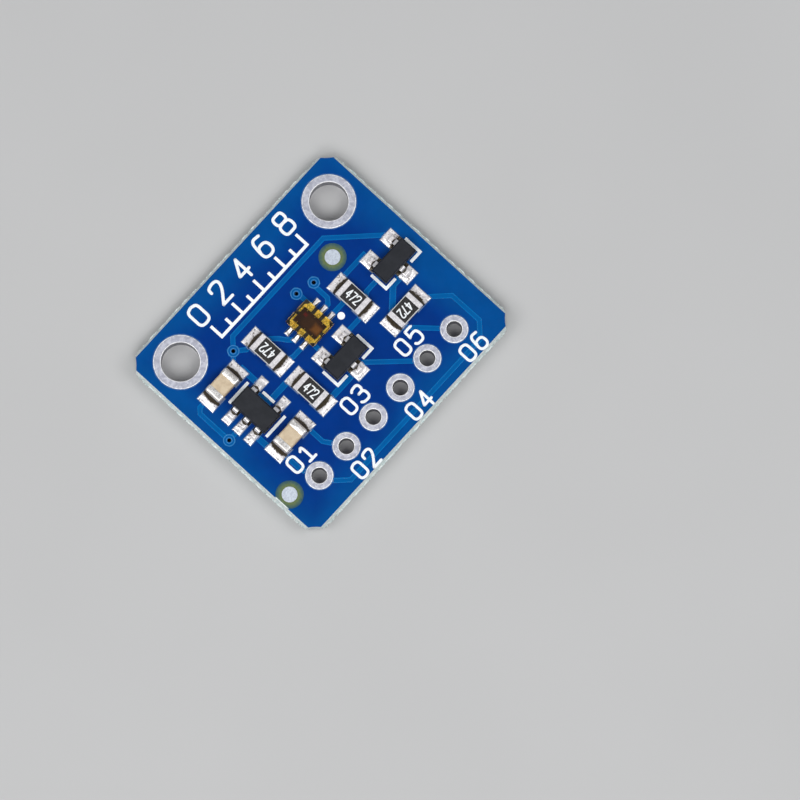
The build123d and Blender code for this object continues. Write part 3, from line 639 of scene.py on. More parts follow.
@dataclass(frozen=True)
class PlainFinish(Finish):
    """One matt or glossy stuff with a slight drift of shade and a fine grain."""

    light: Colour = (0.5, 0.5, 0.5)
    dark: Colour = (0.4, 0.4, 0.4)
    drift_per_mm: float = 1.5
    grain_per_mm: float = 30.0
    grain_depth: float = 0.003
    smooth: float = 0.45
    rough: float = 0.6
    gloss: float = 0.0
    shine: float = 0.5

    def paint(self, graph: Graph) -> None:
        """Drifts between the two shades and bumps the grain."""
        drift = graph.spread(graph.noise(self.drift_per_mm, 4), 0.32, 0.68)
        grain = graph.noise(self.grain_per_mm, 3, 0.6)
        graph.set(
            Base_Color=graph.mix(drift, self.light, self.dark),
            Roughness=graph.spread(grain, 0.3, 0.7, self.smooth, self.rough),
            Specular_IOR_Level=self.shine,
            Coat_Weight=self.gloss,
            Coat_Roughness=0.15,
            Normal=graph.relief(grain, self.grain_depth),
        )


@dataclass(frozen=True)
class ResinFinish(Finish):
    """Clear moulding resin with a warm tint."""

    tint: Colour = (0.98, 0.90, 0.72)
    tint_light: Colour = (0.99, 0.95, 0.84)

    def paint(self, graph: Graph) -> None:
        """See-through, with a shallow ripple from the mould."""
        ripple = graph.noise(2.0, 2)
        graph.set(
            Base_Color=graph.mix(graph.spread(ripple, 0.3, 0.7), self.tint, self.tint_light),
            Roughness=0.04,
            IOR=1.5,
            Transmission_Weight=1.0,
            Normal=graph.relief(ripple, 0.004),
        )


@dataclass(frozen=True)
class DiePatch:
    """A soft-edged rectangle of one colour on the die, placed from the die's middle."""

    colour: Colour
    half_x: float
    half_y: float
    dx: float
    dy: float
    soft: float


@dataclass(frozen=True)
class DieFinish(Finish):
    """Dark brown sensor die with a sensing window, an amber patch and a red spot."""

    centre_x: float = 0.38
    centre_y: float = 1.285
    ground: Colour = (0.035, 0.010, 0.003)
    patches: tuple[DiePatch, ...] = (
        DiePatch((0.065, 0.022, 0.004), 0.36, 0.42, 0.0, 0.05, 0.02),
        DiePatch((0.30, 0.10, 0.010), 0.26, 0.28, -0.03, -0.58, 0.14),
        DiePatch((0.22, 0.010, 0.006), 0.10, 0.12, 0.22, 0.56, 0.06),
    )

    def within(self, graph: Graph, patch: DiePatch) -> bpy.types.NodeSocket:
        """A share that is 1 inside a patch and 0 outside."""
        x, y, _ = graph.axes()
        off_x = graph.math("ABSOLUTE", graph.math("SUBTRACT", x, self.centre_x + patch.dx))
        off_y = graph.math("ABSOLUTE", graph.math("SUBTRACT", y, self.centre_y + patch.dy))
        over_x = graph.math("SUBTRACT", off_x, patch.half_x)
        over_y = graph.math("SUBTRACT", off_y, patch.half_y)
        return graph.spread(graph.math("MAXIMUM", over_x, over_y), -patch.soft, patch.soft, 1.0, 0.0)

    def paint(self, graph: Graph) -> None:
        """Lays the patches over the mottled ground in order."""
        colour = graph.mix(graph.noise(5.0, 4), self.ground, self.patches[0].colour)
        for patch in self.patches:
            colour = graph.mix(self.within(graph, patch), colour, patch.colour)
        graph.set(
            Base_Color=colour,
            Metallic=0.2,
            Roughness=0.22,
            Normal=graph.relief(graph.noise(9.0, 3), 0.003),
        )


MASK = MaskFinish("blue_solder_mask", "solder_mask")
# painted highlight: a lighter blue on the rims and lips of mask round the vias
RIDGE_HIGHLIGHT_MASK = MaskFinish("ridge_highlight_mask", "solder_mask", over_foil=(0.04, 0.22, 0.52))
# painted highlight: a lighter blue on the ridges of mask along the tracks' edges
EDGE_MASK = MaskFinish("track_edge_mask", "solder_mask", over_foil=(0.0, 0.155, 0.45))
LAMINATE = LaminateFinish(
    "glass_laminate",
    "laminate",
    windows=tuple(tuple(middle_of(box).xy) for box in islands("fiducial_dots")),
)
FOIL = MetalFinish(
    "tin_washed_foil",
    "copper",
    bright=(0.60, 0.58, 0.60),
    dull=(0.40, 0.38, 0.40),
    dark=(0.12, 0.09, 0.08),
    metallic=0.6,
)
TIN = MetalFinish(
    "tinned_lands",
    "tinned_copper",
    bright=(0.60, 0.61, 0.69),
    dull=(0.40, 0.41, 0.49),
    dark=(0.06, 0.06, 0.07),
    patch_per_mm=5.0,
    dark_from=0.64,
    smooth=0.30,
    rough=0.50,
    relief_depth=0.010,
    metallic=0.6,
)


def ring_tin(stem: str) -> RingFinish:
    """The finish of one kind of ring, with the places and radii that its nodes have."""
    nodes = sorted(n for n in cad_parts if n.startswith(f"{stem}_eyelet_"))
    centres = tuple(tuple(middle_of(box_of(node)).xy) for node in nodes)
    last = box_of(nodes[-1])
    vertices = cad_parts[nodes[-1]].data.vertices
    reaches = [(Vector(vertex.co.xy) / MM - middle_of(last).xy).length for vertex in vertices]
    return RingFinish(
        f"{stem}_ring_tin",
        TIN.slot,
        bright=TIN.bright,
        dull=(0.42, 0.43, 0.51),
        dark=TIN.dark,
        patch_per_mm=3.5,
        dark_from=0.66,
        dark_to=0.71,
        smooth=TIN.smooth,
        rough=TIN.rough,
        relief_depth=TIN.relief_depth,
        metallic=TIN.metallic,
        centres=centres,
        inner=min(reaches),
        outer=max(reaches),
        flat=last[1].z - BOARD_MIDDLE,
    )


EYELETS = sorted(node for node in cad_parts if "_eyelet_" in node)
RING_TIN = {stem: ring_tin(stem) for stem in sorted({node.split("_eyelet_")[0] for node in EYELETS})}
FIDUCIAL_TIN = MetalFinish(
    "fiducial_tin",
    "tinned_copper",
    bright=(0.62, 0.68, 0.77),
    dull=(0.50, 0.55, 0.64),
    dark=(0.20, 0.21, 0.24),
    patch_per_mm=7.0,
    dark_from=0.66,
    dark_to=0.76,
    smooth=0.30,
    rough=0.50,
    relief_depth=0.008,
    metallic=0.5,
)
SOLDER = SolderFinish("bright_solder", "solder")
LEAD_TIN = LeadFinish("plated_leads", "tinned_leads")
END_BAND = MetalFinish(
    "resistor_end_bands",
    "resistor_terminals",
    bright=(0.84, 0.82, 0.84),
    dull=(0.66, 0.64, 0.66),
    dark=(0.30, 0.28, 0.28),
    patch_per_mm=6.0,
    dark_from=0.62,
    relief_depth=0.006,
    smooth=0.28,
    rough=0.48,
    metallic=0.5,
)
END_CAP = MetalFinish(
    "capacitor_end_caps",
    "capacitor_caps",
    bright=(0.88, 0.86, 0.84),
    dull=(0.64, 0.62, 0.60),
    dark=(0.20, 0.18, 0.16),
    patch_per_mm=3.4,
    dark_from=0.66,
    dark_to=0.76,
    relief_depth=0.012,
    smooth=0.22,
    metallic=0.6,
)
GOLD = MetalFinish(
    "gilt_frame",
    "gold_frame",
    bright=(1.0, 0.72, 0.10),
    dull=(0.86, 0.54, 0.05),
    dark=(0.20, 0.09, 0.01),
    patch_per_mm=2.2,
    dark_from=0.72,
    dark_to=0.80,
    relief_depth=0.004,
    smooth=0.20,
    rough=0.38,
    metallic=0.5,
)
MOULDING = PlainFinish(
    "black_moulding",
    "moulding",
    light=(0.014, 0.016, 0.022),
    dark=(0.008, 0.010, 0.015),
    grain_per_mm=38.0,
    grain_depth=0.006,
    smooth=0.42,
    shine=0.25,
)
COAT = PlainFinish(
    "black_glaze",
    "resistor_coat",
    light=(0.014, 0.013, 0.014),
    dark=(0.022, 0.020, 0.020),
    grain_per_mm=12.0,
    grain_depth=0.004,
    smooth=0.22,
    rough=0.38,
    gloss=0.2,
)
ALUMINA = PlainFinish("white_alumina", "alumina", light=(0.72, 0.73, 0.72), dark=(0.60, 0.61, 0.60))
CERAMIC = PlainFinish(
    "tan_ceramic",
    "capacitor_ceramic",
    light=(0.66, 0.54, 0.38),
    dark=(0.54, 0.42, 0.28),
    drift_per_mm=2.4,
    smooth=0.35,
    rough=0.5,
)
PRINT = PlainFinish(
    "white_print_ink",
    "white_print",
    light=(0.95, 0.97, 0.98),
    dark=(0.88, 0.93, 0.96),
    drift_per_mm=4.0,
    grain_depth=0.004,
    smooth=0.4,
)
# painted shade: a dark sheet under the sensor's frame, where shade falls between its parts
SENSOR_SHADE_SHEET = PlainFinish(
    "sensor_shade_sheet", "clear_resin", light=(0.012, 0.011, 0.006), dark=(0.006, 0.006, 0.003)
)
RESIN = ResinFinish("clear_moulding_resin", "clear_resin")
DIE = DieFinish("sensor_die", "silicon_die")


class GeometryTree:
    """A Geometry Nodes tree with named inputs, built in the script."""

    def __init__(self, name: str, inputs: dict[str, float]) -> None:
        """Starts a tree.

        Args:
            name: the tree's name.
            inputs: its named sizes and their values.
        """
        self.group = bpy.data.node_groups.new(name, "GeometryNodeTree")
        self.values = inputs
        face = self.group.interface
        face.new_socket("Geometry", in_out="INPUT", socket_type="NodeSocketGeometry")
        for label, value in inputs.items():
            socket = face.new_socket(label, in_out="INPUT", socket_type="NodeSocketFloat")
            socket.default_value = value
        face.new_socket("Geometry", in_out="OUTPUT", socket_type="NodeSocketGeometry")
        self.entry = self.group.nodes.new("NodeGroupInput")
        self.exit = self.group.nodes.new("NodeGroupOutput")

    def input(self, label: str) -> bpy.types.NodeSocket:
        """The socket of a named input."""
        return self.entry.outputs[label]

    def add(
        self, kind: str, inputs: dict[object, object] | None = None, **settings: object
    ) -> bpy.types.Node:
        """Adds a node.

        Args:
            kind: the node's type name.
            inputs: sockets or values for its inputs, by name or by number.
            settings: the node's own properties.

        Returns:
            The new node.
        """
        node = self.group.nodes.new(kind)
        for label, value in settings.items():
            setattr(node, label, value)
        for label, value in (inputs or {}).items():
            if isinstance(value, bpy.types.NodeSocket):
                self.group.links.new(value, node.inputs[label])
            else:
                node.inputs[label].default_value = value
        return node

    def math(self, operation: str, first: object, second: object = 0.0) -> bpy.types.NodeSocket:
        """One step of arithmetic."""
        return self.add("ShaderNodeMath", {0: first, 1: second}, operation=operation).outputs[0]

    def vector(self, x: object, y: object, z: object) -> bpy.types.NodeSocket:
        """A vector from three numbers or sockets."""
        return self.add("ShaderNodeCombineXYZ", {0: x, 1: y, 2: z}).outputs[0]

    def random(self, low: float, high: float, seed: int) -> bpy.types.NodeSocket:
        """A random number for each point, the same on each run."""
        node = self.add("FunctionNodeRandomValue", data_type="FLOAT")
        for socket in node.inputs:
            if socket.type == "VALUE" and socket.name == "Min":
                socket.default_value = low
            if socket.type == "VALUE" and socket.name == "Max":
                socket.default_value = high
        node.inputs["Seed"].default_value = seed
        return next(s for s in node.outputs if s.type == "VALUE")

    def curves(self) -> bpy.types.NodeSocket:
        """The host's edges as curves."""
        return self.add("GeometryNodeMeshToCurve", {"Mesh": self.input("Geometry")}).outputs[0]

    def dots(self, curves: bpy.types.NodeSocket, gap: bpy.types.NodeSocket) -> bpy.types.NodeSocket:
        """Points along curves, a gap apart."""
        made = self.add("GeometryNodeCurveToPoints", {"Curve": curves, "Length": gap}, mode="LENGTH")
        return made.outputs["Points"]

    def strewn(
        self, points: bpy.types.NodeSocket, instance: bpy.types.NodeSocket, **turns: bpy.types.NodeSocket
    ) -> bpy.types.NodeSocket:
        """A geometry set on each point, turned and scaled if asked."""
        inputs = {"Points": points, "Instance": instance, **turns}
        return self.add("GeometryNodeInstanceOnPoints", inputs).outputs[0]

    def circle(self, resolution: int, radius: object) -> bpy.types.NodeSocket:
        """A round curve."""
        made = self.add("GeometryNodeCurvePrimitiveCircle", {"Resolution": resolution, "Radius": radius})
        return made.outputs["Curve"]

    def tube(self, path: bpy.types.NodeSocket, section: bpy.types.NodeSocket) -> bpy.types.NodeSocket:
        """A section swept along a path."""
        return self.add("GeometryNodeCurveToMesh", {"Curve": path, "Profile Curve": section}).outputs[0]

    def scaled(self, geometry: bpy.types.NodeSocket, *scale: object) -> bpy.types.NodeSocket:
        """A geometry made larger or smaller along each axis."""
        return self.add(
            "GeometryNodeTransform", {"Geometry": geometry, "Scale": self.vector(*scale)}
        ).outputs[0]

    def join(self, *parts: bpy.types.NodeSocket) -> bpy.types.NodeSocket:
        """Joins several geometries."""
        both = self.add("GeometryNodeJoinGeometry")
        for part in parts:
            self.group.links.new(part, both.inputs[0])
        return both.outputs[0]

    def close(self, geometry: bpy.types.NodeSocket, finish: Finish) -> None:
        """Ends the tree in real geometry with its finish."""
        real = self.add("GeometryNodeRealizeInstances", {"Geometry": geometry})
        worn = self.add("GeometryNodeSetMaterial", {"Geometry": real.outputs[0]})
        worn.inputs["Material"].default_value = finish.material()
        self.group.links.new(worn.outputs[0], self.exit.inputs[0])

    def run(self, host: bpy.types.Mesh, name: str) -> bpy.types.Mesh:
        """Runs the tree on a host mesh.

        Args:
            host: the points or edges that it works on, in millimetres.
            name: the result's name.

        Returns:
            A plain mesh in millimetres.
        """
        carrier = bpy.data.objects.new(f"{name}_host", host)
        bpy.context.scene.collection.objects.link(carrier)
        modifier = carrier.modifiers.new("tree", "NODES")
        modifier.node_group = self.group
        for item in self.group.interface.items_tree:
            if item.in_out == "INPUT" and item.name in self.values:
                modifier[item.identifier] = self.values[item.name]
        bpy.context.view_layer.update()
        evaluated = carrier.evaluated_get(bpy.context.evaluated_depsgraph_get())
        mesh = bpy.data.meshes.new_from_object(evaluated)
        mesh.name = name
        carrier.modifiers.remove(modifier)
        bpy.data.objects.remove(carrier)
        return mesh


def edges_mesh(name: str, runs: Sequence[Sequence[Vector]]) -> bpy.types.Mesh:
    """Makes a mesh of bare edges along each run of points, in millimetres."""
    points = [point for run in runs for point in run]
    edges = []
    first = 0
    for run in runs:
        last = first + len(run)
        edges += [(i, i + 1) for i in range(first, last - 1)]
        first = last
    mesh = bpy.data.meshes.new(name)
    mesh.from_pydata(points, edges, [])
    return mesh


def softened(node: str, width: float, segments: int = 2, sharp_degrees: float = 24.0) -> bpy.types.Mesh:
    """Copies a frame node with its sharp edges rounded off.

    Args:
        node: the node's name.
        width: the rounding's width in millimetres.
        segments: the number of steps in it.
        sharp_degrees: edges that turn by more than this are rounded.

    Returns:
        A finished mesh.
    """
    solid = flattened(node)
    rounded(solid, [edge for edge in solid.edges if folds(edge, sharp_degrees)], width, segments)
    bmesh.ops.remove_doubles(solid, verts=solid.verts, dist=0.0002)
    cut_up(solid)
    return weighted(solid, node)


def weighted(solid: bmesh.types.BMesh, name: str) -> bpy.types.Mesh:
    """Writes a bmesh in millimetres to a finished mesh whose flats are shaded flat, and frees it."""
    mesh = bpy.data.meshes.new(name)
    solid.to_mesh(mesh)
    solid.free()
    mesh.shade_smooth()
    carrier = bpy.data.objects.new("weighting", mesh)
    bpy.context.scene.collection.objects.link(carrier)
    modifier = carrier.modifiers.new("weights", "WEIGHTED_NORMAL")
    modifier.keep_sharp = True
    modifier.weight = 100
    bpy.context.view_layer.update()
    evaluated = carrier.evaluated_get(bpy.context.evaluated_depsgraph_get())
    made = bpy.data.meshes.new_from_object(evaluated)
    bpy.data.objects.remove(carrier)
    made.transform(Matrix.Scale(MM, 4))
    return made


@dataclass(frozen=True)
class Softbox:
    """One soft square light that faces the module."""

    name: str
    azimuth: float  # degrees, anticlockwise from +X
    elevation: float  # degrees above the horizon
    size: float  # side of its face
    power: float  # watts


@dataclass
class Studio:
    """The pale floor, the soft lights and the camera at the photograph's angle."""

    turn_degrees: float = 47.5
    tilt_degrees: float = 5.5
    view_width: float = 50.9
    distance: float = 420.0
    aim: tuple[float, float, float] = (0.668, -6.234, 1.56)
    sensor: float = 36.0
    floor_half: float = 400.0
    floor_gap: float = 0.01
    floor_colour: Colour = (0.52, 0.52, 0.52)
    softboxes: tuple[Softbox, ...] = (
        Softbox("left_light", 150.0, 58.0, 240.0, 0.66),
        Softbox("right_light", -48.0, 58.0, 240.0, 0.58),
        Softbox("front_light", -135.0, 64.0, 200.0, 0.66),
        Softbox("back_light", 50.0, 50.0, 220.0, 0.10),
    )
    surroundings: Colour = (0.82, 0.85, 0.90)
    surroundings_strength: float = 0.18

    def floor(self) -> None:
        """Lays the plain pale floor just under the board."""
        half = self.floor_half * MM
        level = -self.floor_gap * MM
        corners = [(-half, -half, level), (half, -half, level), (half, half, level), (-half, half, level)]
        mesh = bpy.data.meshes.new("floor")
        mesh.from_pydata(corners, [], [(0, 1, 2, 3)])
        graph = Graph("pale_floor")
        shade = graph.spread(graph.noise(0.05, 2), 0.2, 0.8)
        darker = tuple(0.97 * c for c in self.floor_colour)
        graph.set(Base_Color=graph.mix(shade, self.floor_colour, darker), Roughness=0.7)
        mesh.materials.append(graph.material)
        floor = bpy.data.objects.new("floor", mesh)
        bpy.context.scene.collection.objects.link(floor)

    def hang(self, box: Softbox) -> None:
        """Hangs one soft light."""
        light = bpy.data.lights.new(box.name, "AREA")
        light.size = box.size * MM
        light.energy = box.power
        around, up = math.radians(box.azimuth), math.radians(box.elevation)
        out = Vector((math.cos(around) * math.cos(up), math.sin(around) * math.cos(up), math.sin(up)))
        hung = bpy.data.objects.new(box.name, light)
        hung.location = out * self.distance * MM
        hung.rotation_mode = "QUATERNION"
        hung.rotation_quaternion = out.to_track_quat("Z", "Y")
        bpy.context.scene.collection.objects.link(hung)

    def lights(self) -> None:
        """Sets the soft lights round the camera's line and the even surrounding light."""
        for box in self.softboxes:
            self.hang(box)
        world = bpy.data.worlds.new("surroundings")
        world.use_nodes = True
        ground = world.node_tree.nodes["Background"]
        ground.inputs["Color"].default_value = (*self.surroundings, 1.0)
        ground.inputs["Strength"].default_value = self.surroundings_strength
        bpy.context.scene.world = world
        bpy.context.scene.view_settings.view_transform = "Standard"

    def camera(self) -> None:
        """Points the camera nearly straight down, turned as in the photograph."""
        turn, tilt = math.radians(self.turn_degrees), math.radians(self.tilt_degrees)
        right = Vector((math.cos(turn), -math.sin(turn), 0.0))
        page_up = Vector((math.sin(turn), math.cos(turn), 0.0))
        back = Vector((0.0, 0.0, math.cos(tilt))) - page_up * math.sin(tilt)
        up = back.cross(right)
        data = bpy.data.cameras.new("camera")
        data.sensor_width = self.sensor
        data.lens = self.sensor * self.distance / self.view_width
        data.clip_start = 0.01
        data.clip_end = 10.0
        camera = bpy.data.objects.new("camera", data)
        turned = Matrix((right, up, back)).transposed().to_4x4()
        camera.matrix_world = Matrix.Translation((Vector(self.aim) + back * self.distance) * MM) @ turned
        bpy.context.scene.collection.objects.link(camera)
        bpy.context.scene.camera = camera

    def build(self) -> None:
        """Sets up the studio."""
        self.floor()
        self.lights()
        self.camera()
        LOG.info("studio ready")


@dataclass(frozen=True)
class Collar:
    """One flattened ring of mask round a via."""

    label: str
    radius: float
    half_width: float
    rise: float

    def sizes(self) -> dict[str, float]:
        """Its sizes as named inputs of a tree."""
        return {
            f"{self.label} radius": self.radius,
            f"{self.label} half width": self.half_width,
            f"{self.label} rise": self.rise,
        }

    def add_to(self, tree: GeometryTree) -> bpy.types.NodeSocket:
        """Adds the ring to a tree, from its named sizes."""
        half_width = tree.input(f"{self.label} half width")
        path = tree.circle(36, tree.input(f"{self.label} radius"))
        flat = tree.math("DIVIDE", tree.input(f"{self.label} rise"), half_width)
        return tree.scaled(tree.tube(path, tree.circle(10, half_width)), 1.0, 1.0, flat)


@dataclass
class Board:
    """The laminate with its mask, foil, plated holes and torn sides."""

    mask_face: float = 1.555
    foil_rise: float = 0.035
    web_x: float = 9.435  # faces and heights of the snapped web
    web_y: float = 8.165
    web_low: float = 0.53
    web_high: float = 1.07
    corner: float = 1.05  # length of a milled corner along a side
    flake_gap: float = 0.08
    flake_size: float = 0.075
    via_land: Collar = Collar("Land", 0.26, 0.13, 0.006)
    via_rim: Collar = Collar("Rim", 0.36, 0.035, 0.016)
    via_lip: Collar = Collar("Lip", 0.18, 0.035, 0.016)
    print_round: float = 0.085
    print_corner: float = 60.0  # degrees; edges that fold by more are corners
    upright_lean: float = 0.001  # how far apart in plan an upright edge's ends may lie
    land_round: float = 0.05
    mask_round: float = 0.014
    ridge_half_width: float = 0.034
    ridge_rise: float = 0.003
    ridge_free: float = 0.38  # no ridge this near the middle of a via

    def flat_nodes(self) -> None:
        """Finishes the nodes whose frame shape is kept."""
        for node, finish in (
            ("laminate", LAMINATE),
            ("tracks_top", FOIL),
            ("tracks_bottom", FOIL),
            ("ground_pour", FOIL),
            ("vias", FOIL),
            ("component_lands", TIN),
            ("fiducial_dots", FIDUCIAL_TIN),
        ):
            dress(node, finish)

    def masks(self) -> None:
        """Softens the rims of the mask, where it rises over the foil."""
        for node in ("solder_mask_top", "solder_mask_bottom"):
            piece(f"{node}_soft", softened(node, self.mask_round, 2), MASK, (node,))

    def plated_holes(self) -> None:
        """Rounds the rims of the mounting and pin holes."""
        for node in EYELETS:
            finish = RING_TIN[node.split("_eyelet_")[0]]
            piece(f"{node}_rim", softened(node, self.land_round, 3), finish, (node,))

    def via_collars(self, name: str, collars: Sequence[Collar], finish: Finish) -> None:
        """Rings of mask over the lands of the small vias, as a Geometry Nodes tree.

        Args:
            name: the piece's name.
            collars: the rings round each via.
            finish: the mask's finish on them.
        """
        level = self.mask_face + self.foil_rise
        spots = [Vector((*middle_of(box).xy, level)) for box in islands("vias")]
        sizes = {label: size for collar in collars for label, size in collar.sizes().items()}
        tree = GeometryTree(name, sizes)
        rings = tree.join(*[collar.add_to(tree) for collar in collars])
        tree.close(tree.strewn(tree.input("Geometry"), rings), finish)
        host = bpy.data.meshes.new(f"{name}_spots")
        host.from_pydata(spots, [], [])
        piece(name, settled(tree.run(host, name), 60.0), finish)

    def foil_outline(self, node: str) -> bpy.types.Mesh:
        """The outline of a foil node's upper face as bare edges, lifted to the mask's face over it.

        Args:
            node: the foil's node name.

        Returns:
            A mesh of edges alone, in millimetres.
        """
        foil = merged(node)
        level = self.mask_face + self.foil_rise
        vias = [middle_of(box).xy for box in islands("vias")]

        def shown(edge: bmesh.types.BMEdge) -> bool:
            """Whether an edge is on the rim of the upper face and clear of the vias' own collars."""
            middle = (edge.verts[0].co + edge.verts[1].co).xy / 2
            on_rim = sum(face.normal.z > 0.9 for face in edge.link_faces) == 1
            return on_rim and all((middle - via).length > self.ridge_free for via in vias)

        rim = [edge for edge in foil.edges if shown(edge)]
        number = {vertex: i for i, vertex in enumerate({v: None for edge in rim for v in edge.verts})}
        points = [(vertex.co.x, vertex.co.y, level) for vertex in number]
        mesh = bpy.data.meshes.new(f"{node}_outline")
        mesh.from_pydata(points, [tuple(number[vertex] for vertex in edge.verts) for edge in rim], [])
        foil.free()
        return mesh

    def track_ridges(self) -> None:
        """Thin ridges of mask along the edges of the upper tracks, as a Geometry Nodes tree."""
        name = "track_ridges"
        tree = GeometryTree(name, {"Half width": self.ridge_half_width, "Rise": self.ridge_rise})
        half_width = tree.input("Half width")
        flat = tree.math("DIVIDE", tree.input("Rise"), half_width)
        section = tree.scaled(tree.circle(8, half_width), 1.0, flat, 1.0)
        tree.close(tree.tube(tree.curves(), section), EDGE_MASK)
        piece(name, settled(tree.run(self.foil_outline("tracks_top"), name), 60.0), EDGE_MASK)

    def print_lines(self) -> None:
        """Rounds the ends and corners of the printed lines, seen from above."""
        solid = flattened("white_print")
        upright = [
            edge
            for edge in solid.edges
            if folds(edge, self.print_corner)
            and (edge.verts[0].co.xy - edge.verts[1].co.xy).length < self.upright_lean
        ]
        rounded(solid, upright, self.print_round, 4)
        cut_up(solid)
        piece("printed_lines", from_bmesh(solid, "printed_lines", 35.0), PRINT, ("white_print",))

    def side_path(self) -> list[list[Vector]]:
        """The four straight lines along which the board was snapped."""
        height = (self.web_low + self.web_high) / 2
        reach_x, reach_y = self.web_x - self.corner, self.web_y - self.corner
        ends = (
            ((-reach_x, -self.web_y), (reach_x, -self.web_y)),
            ((self.web_x, -reach_y), (self.web_x, reach_y)),
            ((reach_x, self.web_y), (-reach_x, self.web_y)),
            ((-self.web_x, reach_y), (-self.web_x, -reach_y)),
        )
        return [[Vector((*start, height)), Vector((*end, height))] for start, end in ends]

    def torn_fibres(self) -> None:
        """Flakes of laminate along the snapped sides, as a Geometry Nodes tree."""
        name = "torn_fibres"
        height = self.web_high - self.web_low
        tree = GeometryTree(name, {"Gap": self.flake_gap, "Size": self.flake_size, "Height": height})
        gap = tree.input("Gap")
        lift = tree.math("MULTIPLY", tree.random(-0.5, 0.5, 11), tree.input("Height"))
        along = tree.math("MULTIPLY", tree.random(-0.5, 0.5, 12), gap)
        across = tree.math("MULTIPLY", tree.random(-0.5, 0.5, 13), gap)
        jitter = tree.vector(along, across, lift)
        dots = tree.dots(tree.curves(), gap)
        moved = tree.add("GeometryNodeSetPosition", {"Geometry": dots, "Offset": jitter})
        flake = tree.add("GeometryNodeMeshIcoSphere", {"Radius": tree.input("Size"), "Subdivisions": 1})
        size = tree.vector(tree.random(0.5, 1.5, 14), tree.random(0.4, 1.0, 15), tree.random(0.5, 2.2, 16))
        turn = tree.vector(
            tree.random(-0.6, 0.6, 17), tree.random(-0.6, 0.6, 18), tree.random(0.0, 3.1, 19)
        )
        flakes = tree.strewn(moved.outputs[0], flake.outputs[0], Rotation=turn, Scale=size)
        tree.close(flakes, LAMINATE)
        mesh = tree.run(edges_mesh("snapped_sides", self.side_path()), name)
        limit_x, limit_y = (component / MM for component in CAD_BOX[1].xy)
        for vertex in mesh.vertices:
            vertex.co.x = max(-limit_x, min(limit_x, vertex.co.x))
            vertex.co.y = max(-limit_y, min(limit_y, vertex.co.y))
        piece(name, settled(mesh, 30.0), LAMINATE)

    def build(self) -> None:
        """Makes and finishes the board."""
        self.flat_nodes()
        self.masks()
        self.plated_holes()
        self.via_collars("via_collars", (self.via_land,), MASK)
        self.via_collars("via_rims", (self.via_rim, self.via_lip), RIDGE_HIGHLIGHT_MASK)
        self.track_ridges()
        self.torn_fibres()
        self.print_lines()


class DarkSide(Enum):
    """Where a joint's steep skin gets painted shade and dark reflection: past the metal's tip, round its
    heel or at its sides.
    """

    TIP = 1
    HEEL = 2
    SIDES = 3


